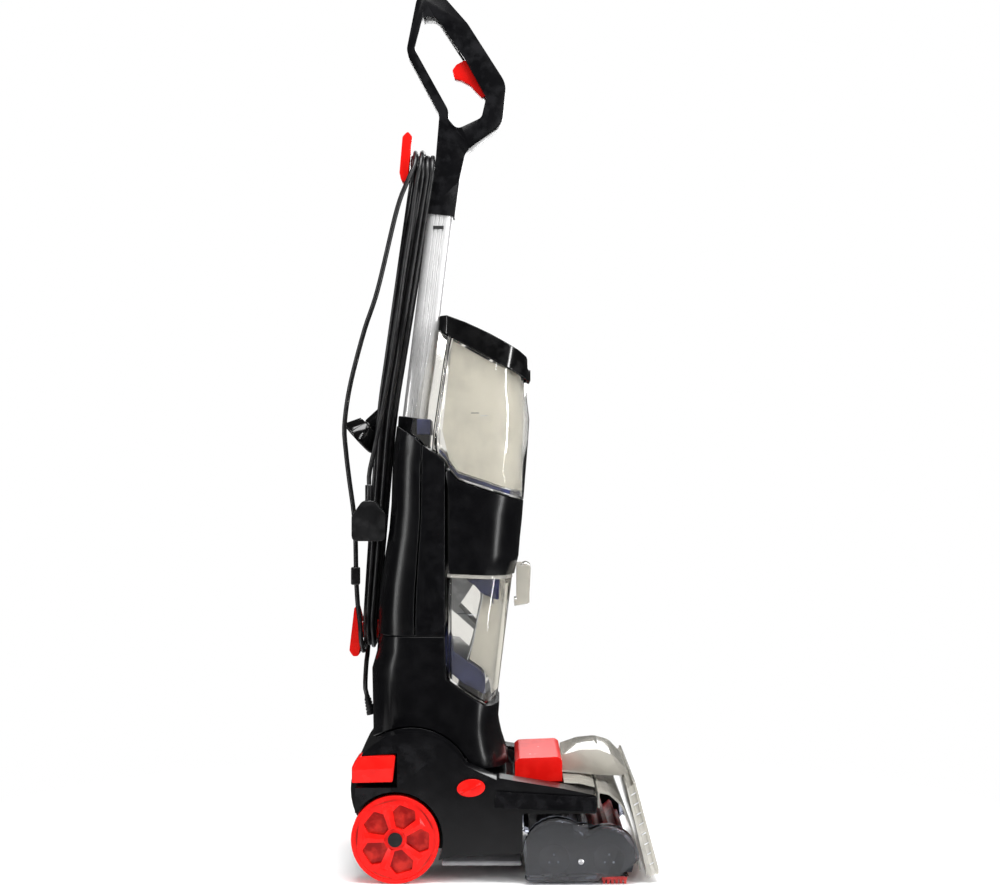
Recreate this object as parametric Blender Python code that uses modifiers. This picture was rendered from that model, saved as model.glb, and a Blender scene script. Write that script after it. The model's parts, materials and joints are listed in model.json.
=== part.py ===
"""Upright carpet cleaner: a reclining upright with two tanks on a wheeled base with two brush rolls.

Frame: metres, +Z up, the cleaner's front towards +X, its left side towards +Y.
The origin is on the floor, under the middle of the cleaner's box.
"""
import math

import bmesh
import bpy
from mathutils import Matrix, Vector

# ---- driving dimensions (metres) ----
GAP = 0.0003                 # gap between pieces that touch
WALL = 0.0025                # moulded wall
TANK_HALF = 0.102            # half width of both tanks
BASE_HALF = 0.150            # half width over the side housings
KNOB_Y = -0.15265            # middle of the selector knob
COVER_HALF = 0.155           # half width over the brush covers

PIVOT = (-0.1105, 0.1093)    # recline axis (x, z)
DRUM_RADIUS = 0.0765
WHEEL_AXIS = (-0.129, 0.0545)
WHEEL_RADIUS = 0.0545
BRUSH_RADIUS = 0.0285
BRUSH_REAR = (0.066, 0.0290)
BRUSH_FRONT = (0.134, 0.0290)
MOTOR_AXIS = (0.098, 0.0600)
PEDAL_AXIS = (-0.1300, 0.1420)
KNOB_AXIS = (-0.0310, 0.1190)
LATCH_AXIS = (0.0225, 0.1145)
TRIGGER_AXIS = (-0.0170, 1.0000)
IMPELLER_X = -0.0230

TUBE_TOP = (-0.0735, 0.8740)     # centre of the tube's upper end (x, z)
TUBE_FOOT = (-0.1155, 0.5320)    # centre of its lower end
TUBE_DEPTH = 0.0330
TUBE_WIDTH = 0.0400
TUBE_WALL = 0.0016

CORD = 0.0062                # mains cord diameter
ARM_RADIUS = 0.0220          # the hooks' arms that the cord is wound on
UPPER_ARM = (-0.1020, 0.8900)    # centre of the upper arm's round top (x, z)
LOWER_ARM = (-0.1680, 0.3100)    # centre of the lower arm's round underside


# ---- scene ----
for old in list(bpy.data.objects):
    bpy.data.objects.remove(old, do_unlink=True)

PARTS = bpy.data.collections.new("carpet_cleaner")
CUTTERS = bpy.data.collections.new("cutters")
bpy.context.scene.collection.children.link(PARTS)
bpy.context.scene.collection.children.link(CUTTERS)


def material(name, colour, roughness, metallic=0.0, transmission=0.0):
    """A Principled material with one colour."""
    mat = bpy.data.materials.new(name)
    mat.use_nodes = True
    shader = mat.node_tree.nodes["Principled BSDF"]
    shader.inputs["Base Color"].default_value = (*colour, 1.0)
    shader.inputs["Roughness"].default_value = roughness
    shader.inputs["Metallic"].default_value = metallic
    shader.inputs["Transmission Weight"].default_value = transmission
    mat.diffuse_color = (*colour, 1.0)
    return mat


LOOKS = {
    "black": ((0.012, 0.012, 0.014), 0.35, 0.0, 0.0),
    "gloss_black": ((0.010, 0.010, 0.011), 0.12, 0.0, 0.0),
    "red": ((0.80, 0.035, 0.015), 0.30, 0.0, 0.0),
    "clear": ((0.86, 0.85, 0.81), 0.08, 0.0, 0.9),
    "smoke": ((0.35, 0.36, 0.40), 0.10, 0.0, 0.7),
    "aluminium": ((0.78, 0.78, 0.79), 0.28, 1.0, 0.0),
    "steel": ((0.55, 0.55, 0.57), 0.30, 1.0, 0.0),
    "navy": ((0.020, 0.030, 0.120), 0.40, 0.0, 0.0),
    "grey": ((0.45, 0.46, 0.48), 0.45, 0.0, 0.0),
    "rubber": ((0.015, 0.015, 0.015), 0.70, 0.0, 0.0),
    "bristle": ((0.030, 0.030, 0.032), 0.80, 0.0, 0.0),
}


# ---- shape helpers ----
def finish(obj, look, collection=PARTS):
    """Put an object in its collection with a material of its own."""
    collection.objects.link(obj)
    if look:
        obj.data.materials.append(material(obj.name + "_material", *LOOKS[look]))
    return obj


def from_bmesh(name, mesh, look, smooth=False):
    data = bpy.data.meshes.new(name)
    mesh.to_mesh(data)
    mesh.free()
    obj = finish(bpy.data.objects.new(name, data), look)
    if smooth:
        data.shade_smooth()
        data.set_sharp_from_angle(angle=math.radians(35))
    return obj


def rounded(corners, radius, steps=4):
    """Outline with a curve at each corner; radius is one number, or one for each corner."""
    radii = radius if isinstance(radius, (list, tuple)) else [radius] * len(corners)
    outline = []
    for index, corner_radius in enumerate(radii):
        corner = Vector(corners[index])
        back = Vector(corners[index - 1]) - corner
        ahead = Vector(corners[(index + 1) % len(corners)]) - corner
        half_angle = back.angle(ahead) / 2
        reach = corner_radius / math.tan(half_angle) if half_angle < 1.56 else 0.0
        reach = min(reach, 0.48 * back.length, 0.48 * ahead.length)
        if reach < 1e-5:
            outline.append(corner)
            continue
        start = corner + back.normalized() * reach
        end = corner + ahead.normalized() * reach
        for step in range(steps + 1):
            t = step / steps
            outline.append(start * (1 - t) ** 2 + corner * 2 * t * (1 - t) + end * t * t)
    return outline


def arc(centre, radius, start, end, steps):
    """Points on a circle from one angle to another, in degrees."""
    angles = [math.radians(start + (end - start) * i / steps) for i in range(steps + 1)]
    return [(centre[0] + radius * math.cos(a), centre[1] + radius * math.sin(a)) for a in angles]


def circle(centre, radius, count=32):
    return arc(centre, radius, 0, 360 * (count - 1) / count, count - 1)


def wrap(circles, extra=0.0):
    """Outline of a band stretched round circles (x, z, radius): their convex hull."""
    points = []
    for x, z, radius in circles:
        points += circle((x, z), radius + extra, 40)
    points.sort()
    outline = []
    for side in (points, points[::-1]):
        chain = []
        for p in side:
            while len(chain) > 1:
                (ax, az), (bx, bz) = chain[-2], chain[-1]
                if (bx - ax) * (p[1] - az) - (bz - az) * (p[0] - ax) > 1e-12:
                    break
                chain.pop()
            chain.append(p)
        outline += chain[:-1]
    return outline


def turning(outline, anticlockwise):
    """The same outline, run the asked way round."""
    area = sum(a[0] * b[1] - b[0] * a[1] for a, b in zip(outline, list(outline[1:]) + [outline[0]]))
    return outline if (area > 0) == anticlockwise else outline[::-1]


def plate(name, outlines, y_low, y_high, look, edge=0.0):
    """Flat outline in the XZ plane, with holes after the first, between two values of y."""
    curve = bpy.data.curves.new(name, "CURVE")
    curve.dimensions = "2D"
    curve.fill_mode = "BOTH"
    curve.extrude = (y_high - y_low) / 2
    for index, outline in enumerate(outlines):
        spline = curve.splines.new("POLY")
        spline.points.add(len(outline) - 1)
        for point, (x, z) in zip(spline.points, turning(outline, index > 0)):
            point.co = (x, z, 0, 1)
        spline.use_cyclic_u = True
    obj = finish(bpy.data.objects.new(name, curve), look)
    obj.rotation_euler = (math.pi / 2, 0, 0)
    obj.location = (0, (y_low + y_high) / 2, 0)
    if edge:
        obj = as_mesh(obj)
        bevel = obj.modifiers.new("edges", "BEVEL")
        bevel.width = edge
        bevel.segments = 2
        bevel.angle_limit = math.radians(60)
    return obj


def as_mesh(obj):
    """Replace a curve object by its evaluated mesh, with the caps welded on."""
    bpy.context.view_layer.update()
    evaluated = obj.evaluated_get(bpy.context.evaluated_depsgraph_get())
    data = bpy.data.meshes.new_from_object(evaluated)
    mesh = bmesh.new()
    mesh.from_mesh(data)
    bmesh.ops.remove_doubles(mesh, verts=mesh.verts, dist=0.00001)
    mesh.to_mesh(data)
    mesh.free()
    name, place = obj.name, obj.matrix_world.copy()
    for mat in obj.data.materials:
        if data.materials.find(mat.name) < 0:
            data.materials.append(mat)
    bpy.data.objects.remove(obj, do_unlink=True)
    data.name = name
    made = bpy.data.objects.new(name, data)
    made.matrix_world = place
    PARTS.objects.link(made)
    return made


def rod(name, start, end, radius, look, sides=24):
    """Straight round bar between two points."""
    start, end = Vector(start), Vector(end)
    turn = Vector((0, 0, 1)).rotation_difference(end - start).to_matrix().to_4x4()
    mesh = bmesh.new()
    bmesh.ops.create_cone(mesh, cap_ends=True, segments=sides, radius1=radius, radius2=radius,
                          depth=(end - start).length,
                          matrix=Matrix.Translation((start + end) / 2) @ turn)
    return from_bmesh(name, mesh, look, smooth=True)


def box(name, low, high, look, edge=0.0):
    low, high = Vector(low), Vector(high)
    mesh = bmesh.new()
    bmesh.ops.create_cube(mesh, size=1.0, matrix=Matrix.Translation((low + high) / 2)
                          @ Matrix.Diagonal((*(high - low), 1.0)))
    obj = from_bmesh(name, mesh, look)
    if edge:
        bevel = obj.modifiers.new("edges", "BEVEL")
        bevel.width = edge
        bevel.segments = 2
    return obj


def turned(name, profile, centre, axis, look, sides=40):
    """Turn a closed profile of (radius, height) about an axis through centre."""
    mesh = bmesh.new()
    verts = [mesh.verts.new((radius, 0, height)) for radius, height in profile]
    closed = min(radius for radius, _ in profile) > 0
    for a, b in zip(verts, verts[1:] + (verts[:1] if closed else [])):
        mesh.edges.new((a, b))
    obj = from_bmesh(name, mesh, look)
    screw = obj.modifiers.new("turn", "SCREW")
    screw.steps = screw.render_steps = sides
    screw.use_merge_vertices = True
    screw.merge_threshold = 0.00001
    screw.use_smooth_shade = True
    turn = Vector((0, 0, 1)).rotation_difference(Vector(axis))
    obj.rotation_mode = "QUATERNION"
    obj.rotation_quaternion = turn
    obj.location = centre
    return obj


def tube(name, points, radius, look, resolution=3):
    """Round bar along a list of points."""
    curve = bpy.data.curves.new(name, "CURVE")
    curve.dimensions = "3D"
    curve.bevel_depth = radius
    curve.bevel_resolution = resolution
    curve.use_fill_caps = True
    spline = curve.splines.new("POLY")
    spline.points.add(len(points) - 1)
    for point, place in zip(spline.points, points):
        point.co = (*place, 1)
    return finish(bpy.data.objects.new(name, curve), look)


def smooth_route(points, spacing):
    """Evenly spaced points on a smooth curve through the given ones (Catmull-Rom)."""
    points = [Vector(p) for p in points]
    ends = [2 * points[0] - points[1]] + points + [2 * points[-1] - points[-2]]
    fine = []
    for a, b, c, d in zip(ends, ends[1:], ends[2:], ends[3:]):
        for step in range(24):
            t = step / 24
            fine.append(0.5 * (2 * b + (c - a) * t + (2 * a - 5 * b + 4 * c - d) * t * t
                               + (3 * b - a - 3 * c + d) * t ** 3))
    fine.append(points[-1])
    length = sum((b - a).length for a, b in zip(fine, fine[1:]))
    count = max(2, round(length / spacing))
    route, walked, target = [fine[0]], 0.0, length / count
    for a, b in zip(fine, fine[1:]):
        step = (b - a).length
        while walked + step >= target - 1e-9 and len(route) < count:
            route.append(a.lerp(b, (target - walked) / step))
            target += length / count
        walked += step
    route.append(fine[-1])
    return route


def cup(name, outline, y_open, y_closed, look, wall=WALL):
    """Moulded cover: a flat side in the XZ plane with a wall round it, open on the other side."""
    mesh = bmesh.new()
    face = mesh.faces.new([mesh.verts.new((x, y_closed, z)) for x, z in outline])
    grown = bmesh.ops.extrude_face_region(mesh, geom=[face], use_keep_orig=True)
    moved = [item for item in grown["geom"] if isinstance(item, bmesh.types.BMVert)]
    bmesh.ops.translate(mesh, verts=moved, vec=(0, y_open - y_closed, 0))
    lid = [item for item in grown["geom"] if isinstance(item, bmesh.types.BMFace)]
    bmesh.ops.delete(mesh, geom=lid, context="FACES_ONLY")
    bmesh.ops.recalc_face_normals(mesh, faces=mesh.faces)
    face.normal_update()
    if face.normal.y * (y_closed - y_open) < 0:
        bmesh.ops.reverse_faces(mesh, faces=mesh.faces)
    bmesh.ops.triangulate(mesh, faces=[face])
    obj = from_bmesh(name, mesh, look)
    thicken(obj, wall)
    return obj


def outward(mesh, direction):
    """Make all normals agree, with the face that lies furthest that way facing that way."""
    direction = Vector(direction)
    bmesh.ops.recalc_face_normals(mesh, faces=mesh.faces)
    outer = max(mesh.faces, key=lambda face: face.calc_center_median().dot(direction))
    if outer.normal.dot(direction) < 0:
        bmesh.ops.reverse_faces(mesh, faces=mesh.faces)


def folded_sheet(name, line, half, direction, look, wall=WALL):
    """Sheet that follows a line of (x, z), from -half to half in y."""
    mesh = bmesh.new()
    rows = [[mesh.verts.new((x, side * half, z)) for side in (-1, 1)] for x, z in line]
    for a, b in zip(rows, rows[1:]):
        mesh.faces.new((a[0], a[1], b[1], b[0]))
    outward(mesh, direction)
    obj = from_bmesh(name, mesh, look)
    thicken(obj, wall)
    return obj


def hood(name, line, half_widths, look, wall=WALL):
    """Cover with flat cheeks that follows a line of (x, z) and is open where the line's ends meet."""
    mesh = bmesh.new()
    left = [mesh.verts.new((x, between(half_widths, x), z)) for x, z in line]
    right = [mesh.verts.new((x, -between(half_widths, x), z)) for x, z in line]
    mesh.faces.new(left)
    mesh.faces.new(right[::-1])
    for i in range(len(line) - 1):
        mesh.faces.new((left[i], right[i], right[i + 1], left[i + 1]))
    outward(mesh, (0, 0, 1))
    obj = from_bmesh(name, mesh, look)
    thicken(obj, wall)
    return obj


def thicken(obj, wall):
    solid = obj.modifiers.new("wall", "SOLIDIFY")
    solid.thickness = wall
    solid.offset = -1
    solid.use_even_offset = True


def cut(obj, cutter):
    """Take a cutter out of an object."""
    apply_boolean(obj, cutter, "DIFFERENCE")


def join(obj, other):
    """Fuse another shape onto an object."""
    apply_boolean(obj, other, "UNION")


def apply_boolean(obj, other, operation):
    modifier = obj.modifiers.new(operation.lower(), "BOOLEAN")
    modifier.operation = operation
    modifier.solver = "EXACT"
    modifier.object = other
    if other.name in PARTS.objects:
        PARTS.objects.unlink(other)
        CUTTERS.objects.link(other)
    other.hide_render = True
    other.display_type = "WIRE"


def between(table, value):
    """Straight-line value between the rows (at, value) of a table."""
    for (a, low), (b, high) in zip(table, table[1:]):
        if value <= b:
            return low + (high - low) * (value - a) / (b - a)
    return table[-1][1]


# ---- the upright body's side profile ----
REAR_EDGE = [(0.134, -0.1605), (0.258, -0.1630), (0.268, -0.1625), (0.276, -0.1570), (0.292, -0.1550),
             (0.330, -0.1550), (0.364, -0.1520), (0.415, -0.1440), (0.446, -0.1390), (0.520, -0.1370),
             (0.576, -0.1300)]
FRONT_EDGE = [(0.134, 0.0110), (0.155, 0.0030), (0.182, -0.0030), (0.215, -0.0005), (0.372, 0.0170),
              (0.388, 0.0230), (0.416, 0.0250), (0.443, 0.0280), (0.467, 0.0300)]
SEAM_X = -0.068              # where the rear shell meets the motor pod
SEAT = [(-0.140, 0.570), (-0.109, 0.5510), (-0.093, 0.5370), (-0.0765, 0.5265), (-0.069, 0.5190),
        (-0.062, 0.5060), (-0.053, 0.4950), (0.012, 0.4735), (0.040, 0.4670)]
BAY_FLOOR = [(-0.080, 0.2650), (-0.0755, 0.2620), (-0.070, 0.2490), (-0.046, 0.2310), (-0.0165, 0.2120),
             (-0.004, 0.2200), (0.004, 0.2230)]
BAY_LIP_X = -0.0165          # the bay's floor is level in front of here, so that the tank draws out
BAY_ROOF_Z = 0.3790          # roof of the dirty tank's bay at x = SEAM_X
BAY_ROOF_SLOPE = -0.042

# half width along the body's depth: 0 rear, 1 seam, 2 front
PLAN = [(0.0, 0.060), (0.05, 0.078), (0.15, 0.094), (0.32, 0.103), (0.55, 0.106), (1.0, 0.106),
        (1.45, 0.106), (1.65, 0.102), (1.80, 0.092), (1.92, 0.074), (2.0, 0.046)]


def body_x(depth, z):
    """x of the body at a depth from 0 (rear) through 1 (seam) to 2 (front), at height z."""
    if depth <= 1:
        rear = between(REAR_EDGE, z)
        return rear + (SEAM_X - rear) * depth
    return SEAM_X + (between(FRONT_EDGE, z) - SEAM_X) * (depth - 1)


def height_at(depth, rule):
    """Height of a surface z = rule(x) where it meets the body at a depth."""
    z = rule(body_x(depth, 0.4))
    for _ in range(8):
        z = rule(body_x(depth, z))
    return z


def seat(x):
    return between(SEAT, x)


def bay_floor(x):
    return between(BAY_FLOOR, x)


def bay_roof(x):
    return BAY_ROOF_Z + BAY_ROOF_SLOPE * (x - SEAM_X)


def drum_top(x):
    """Underside of the body: over the drum, and level in front of it."""
    reach = (DRUM_RADIUS + 0.0015) ** 2 - (x - PIVOT[0]) ** 2
    return max(0.134, PIVOT[1] + math.sqrt(max(reach, 0.0)))


def strip_shell(name, stations, open_sides, look, wall=WALL):
    """Shell lofted over stations of (half width, [(x, z) low ... (x, z) high])."""
    mesh = bmesh.new()
    grid = []
    for half, column in stations:
        grid.append([[mesh.verts.new((x, side * half, z)) for side in (-1, 1)] for x, z in column])
    last = len(grid) - 1
    top = len(grid[0]) - 1
    for i in range(last):
        for k in range(top):
            for side in (0, 1):
                mesh.faces.new((grid[i][k][side], grid[i + 1][k][side],
                                grid[i + 1][k + 1][side], grid[i][k + 1][side]))
        for k, which in ((0, "bottom"), (top, "top")):
            if which not in open_sides:
                mesh.faces.new((grid[i][k][0], grid[i + 1][k][0], grid[i + 1][k][1], grid[i][k][1]))
    for i, which in ((0, "rear"), (last, "front")):
        if which not in open_sides:
            for k in range(top):
                mesh.faces.new((grid[i][k][0], grid[i][k][1], grid[i][k + 1][1], grid[i][k + 1][0]))
    bmesh.ops.recalc_face_normals(mesh, faces=mesh.faces)
    probe = grid[last // 2][top // 2][1]
    if sum((face.normal.y for face in probe.link_faces), 0.0) < 0:
        bmesh.ops.reverse_faces(mesh, faces=mesh.faces)
    obj = from_bmesh(name, mesh, look)
    if wall:
        thicken(obj, wall)
    return obj


def body_stations(depths, low_rule, high_rule, levels):
    """Stations of the body at some depths, between two surfaces."""
    stations = []
    for depth in depths:
        low, high = height_at(depth, low_rule), height_at(depth, high_rule)
        heights = [low + (high - low) * level / levels for level in range(levels + 1)]
        column = [(body_x(depth, z), z) for z in heights]
        stations.append((between(PLAN, depth), column))
    return stations


def sides():
    """The right side is towards -Y and the left side towards +Y."""
    return (("right", -1), ("left", 1))


def span(side, inner, outer):
    """y range of a piece that lies between two distances from the middle."""
    return (inner, outer) if side > 0 else (-outer, -inner)


# ---- base ----
def housing_outline():
    arch = arc(WHEEL_AXIS, 0.0590, -25, 147, 16)
    disc = arc(PIVOT, 0.0770, 141, 28, 14)
    return ([(-0.178, 0.1185), (-0.1265, 0.1185), (-0.1265, 0.1610)] + disc
            + rounded([(-0.003, 0.1310), (0.017, 0.1275), (0.076, 0.1180), (0.1195, 0.1090),
                       (0.1195, 0.0870),
                       (0.028, 0.0870), (0.028, 0.0378), (-0.0525, 0.0340)],
                      [0.004, 0.004, 0.004, 0.006, 0.003, 0.004, 0.004, 0.002], 3)
            + arch)


def frame_outline():
    return rounded([(-0.176, 0.117), (-0.150, 0.168), (-0.1105, 0.184), (-0.070, 0.168), (-0.020, 0.128),
                    (0.020, 0.124), (0.020, 0.042), (-0.070, 0.036), (-0.110, 0.040), (-0.150, 0.040),
                    (-0.176, 0.060)], 0.008, 3)


def cover_outline():
    """Two round lobes over the belt."""
    rear = arc((0.0705, 0.0400), 0.0420, 180, 52, 10)
    front = arc((0.1300, 0.0320), 0.0410, 118, 0, 10)
    return rear + front + rounded([(0.1700, 0.0120), (0.1240, 0.0098), (0.1215, 0.0052), (0.0360, 0.0040),
                                   (0.0285, 0.0090)], 0.002, 3)


def make_side(side_name, side):
    cup("side_housing_" + side_name, housing_outline(), side * 0.1135, side * BASE_HALF, "black")
    make_wheel(side_name, side)
    make_pedal(("recline_pedal", "power_pedal")[side > 0], side)


def make_frame(side_name, side):
    """Inner frame of a side housing with its pivot boss, and the headed axle that it carries."""
    x, z = WHEEL_AXIS
    frame = as_mesh(plate("side_frame_" + side_name, [frame_outline(), circle(WHEEL_AXIS, 0.0043, 16)],
                          *span(side, 0.1098, 0.1130), None))
    frame.data.materials.append(material("side_frame_material", *LOOKS["black"]))
    join(frame, rod("pivot_boss_" + side_name, (PIVOT[0], side * 0.0960, PIVOT[1]),
                    (PIVOT[0], side * 0.1115, PIVOT[1]), 0.0090, None))
    axle = rod("stub_axle_" + side_name, (x, side * 0.1070, z), (x, side * 0.1490, z), 0.0040, "steel", 16)
    join(axle, rod("axle_head_" + side_name, (x, side * 0.1484, z), (x, side * 0.1510, z), 0.0090, None))


def make_edge_brush(side_name, side):
    comb_teeth = [(0.1255, 0.0090), (0.1565, 0.0090), (0.1565, 0.0050)]
    for tooth in range(5, -1, -1):
        x = 0.1262 + tooth * 0.0052
        comb_teeth += [(x + 0.0038, 0.0050), (x + 0.0033, 0.0), (x + 0.0005, 0.0), (x, 0.0050)]
    comb_teeth += [(0.1255, 0.0050)]
    plate("edge_brush_" + side_name, [comb_teeth], *span(side, 0.1390, 0.1460), "red")


def make_wheel(side_name, side):
    """Rim with a five-spoke web, turning on the stub axle."""
    x, z = WHEEL_AXIS
    rim = [(0.0500, 0.0155), (0.0535, 0.0155), (WHEEL_RADIUS, 0.0145), (WHEEL_RADIUS, -0.0145),
           (0.0535, -0.0155), (0.0500, -0.0155)]
    wheel = turned("rear_wheel_" + side_name, rim, (x, side * 0.1335, z), (0, side, 0), "red", 48)
    holes = [circle((x, z), 0.0045, 16)]
    for spoke in range(5):
        pocket_at = math.radians(69 + 72 * spoke)
        pocket = [(0.016, -0.50), (0.016, 0.50), (0.034, 0.46), (0.043, 0.24), (0.043, -0.24),
                  (0.034, -0.46)]
        holes.append(rounded([(x + r * math.cos(pocket_at + a), z + r * math.sin(pocket_at + a))
                              for r, a in pocket], 0.003, 3))
    web = as_mesh(plate("wheel_web_" + side_name, [circle((x, z), 0.0515, 48)] + holes,
                        *span(side, 0.1400, 0.1470), None))
    join(wheel, web)
    join(wheel, as_mesh(plate("wheel_dish_" + side_name, [circle((x, z), 0.0515, 48), circle((x, z), 0.0045, 16)],
                              *span(side, 0.1365, 0.1402), None)))


def make_pedal(name, side):
    tall = [(-0.1820, 0.1250), (-0.1820, 0.1445), (-0.1740, 0.1570), (-0.1285, 0.1590), (-0.1320, 0.1262)]
    low = [(-0.1780, 0.1250), (-0.1780, 0.1350), (-0.1720, 0.1430), (-0.1300, 0.1440), (-0.1320, 0.1262)]
    corners, look = (low, "black") if side > 0 else (tall, "red")
    outline = rounded(corners, [0.002, 0.006, 0.006, 0.003, 0.002], 3)
    plate(name, [outline], *span(side, 0.1180, 0.1525), look, 0.0015)


def make_base_covers():
    deck = [(-0.0290, 0.0450), (-0.0290, 0.1290), (0.0080, 0.1240), (0.0165, 0.1120), (0.1190, 0.1030),
            (0.1190, 0.0880)]
    folded_sheet("deck_cover", deck, 0.1092, (0, 0, 1), "black")
    box("base_pan", (-0.0720, -0.1400, 0.0205), (0.0265, 0.1400, 0.0265), "smoke", 0.002)
    box("spray_bar", (0.1040, -0.1050, 0.0890), (0.1140, 0.1050, 0.0970), "black", 0.0015)


def make_brushes():
    for name, (x, z) in (("rear", BRUSH_REAR), ("front", BRUSH_FRONT)):
        star = []
        for tooth in range(10):
            for angle, radius in ((0, 0.0190), (9, BRUSH_RADIUS), (18, BRUSH_RADIUS), (27, 0.0190)):
                a = math.radians(tooth * 36 + angle + 4.5)
                star.append((x + radius * math.cos(a), z + radius * math.sin(a)))
        roll = as_mesh(plate("brush_roll_" + name, [star], -0.1280, 0.1280, None))
        roll.data.materials.append(material("brush_roll_material", *LOOKS["bristle"]))
        join(roll, rod("brush_shaft_" + name, (x, -0.1390, z), (x, 0.1338, z), 0.0040, None, 16))
        join(roll, rod("brush_pulley_" + name, (x, -0.1470, z), (x, -0.1385, z), 0.0112, None, 32))
    x, z = MOTOR_AXIS
    pulley = rod("motor_pulley", (x, -0.1470, z), (x, -0.1393, z), 0.0045, "steel", 20)
    join(pulley, rod("motor_shaft", (x, -0.1400, z), (x, -0.1305, z), 0.0025, None, 12))
    rod("brush_motor", (x, -0.1300, z), (x, -0.0500, z), 0.0130, "steel")
    belt = [(*BRUSH_REAR, 0.0115), (*BRUSH_FRONT, 0.0115), (*MOTOR_AXIS, 0.0045)]
    plate("drive_belt", [wrap(belt, 0.0024), wrap(belt, 0.0004)], -0.1465, -0.1398, "rubber")
    holes = [circle(BRUSH_REAR, 0.0046, 16), circle(BRUSH_FRONT, 0.0046, 16)]
    holes.append(circle(MOTOR_AXIS, 0.0035, 16))
    outline = rounded([(0.032, 0.012), (0.032, 0.060), (0.060, 0.076), (0.105, 0.0735), (0.146, 0.062),
                           (0.164, 0.040), (0.164, 0.013)], 0.010, 3)
    for side_name, side in sides():
        plate("bearing_plate_" + side_name, [outline] + holes, *span(side, 0.1346, 0.1376), "black")
        cup("brush_cover_" + side_name, cover_outline(), side * 0.1381, side * COVER_HALF, "smoke", 0.002)


def make_nozzle():
    """Clear hood and the suction slot in front of it, which draw off forwards together."""
    hood_line = [(0.1208, 0.0905)] + rounded([(0.1208, 0.1000), (0.1208, 0.1120), (0.1360, 0.1090),
                                              (0.1520, 0.0950),
                                              (0.1655, 0.0620), (0.1745, 0.0140)],
                                             [0, 0.004, 0.01, 0.02, 0.03, 0], 4)
    folded_sheet("hood_window", hood_line, 0.1335, (1, 0, 0), "clear")
    back = rounded([(0.1560, 0.1170), (0.1585, 0.1190), (0.1862, 0.0135), (0.1860, 0.0070),
                    (0.1800, 0.0100),
                    (0.1790, 0.0200)], 0.0008, 2)
    plate("nozzle_back_plate", [back], -0.1460, 0.1460, "clear")
    front = rounded([(0.1640, 0.1245), (0.1670, 0.1245), (0.1955, 0.0180), (0.1955, 0.0120),
                     (0.1925, 0.0110)],
                    0.0008, 2)
    plate("nozzle_front_plate", [front], -0.1460, 0.1460, "clear")
    duct = rounded([(0.0795, 0.1430), (0.1020, 0.1500), (0.1250, 0.1515), (0.1450, 0.1450),
                    (0.1625, 0.1258),
                    (0.1600, 0.1235), (0.1540, 0.1200), (0.1300, 0.1190), (0.0795, 0.1215)],
                   [0, 0.02, 0.02, 0.02, 0.001, 0.001, 0.01, 0.02, 0], 4)
    hood("nozzle_duct", duct, [(0.0795, 0.050), (0.1250, 0.060), (0.1625, 0.075)], "clear", 0.0022)
    latch = rounded([(0.0190, 0.1140), (0.0190, 0.1385), (0.0245, 0.1430), (0.0735, 0.1450),
                     (0.0788, 0.1410),
                     (0.0788, 0.1140)], [0, 0.004, 0.006, 0.006, 0.005, 0], 3)
    hood("nozzle_latch", latch, [(0.0, 0.0780), (0.1, 0.0780)], "red")


def make_knob():
    x, z = KNOB_AXIS
    pointer = []
    for step in range(28):
        a = 2 * math.pi * step / 28
        across, up = 0.0172 * math.cos(a), 0.0105 * math.sin(a)
        pointer.append((x - 0.0046 + across - 0.15 * up, z + up + 0.12 * across))
    plate("selector_knob", [pointer], KNOB_Y - 0.00235, KNOB_Y + 0.00235, "red", 0.0012)


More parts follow.
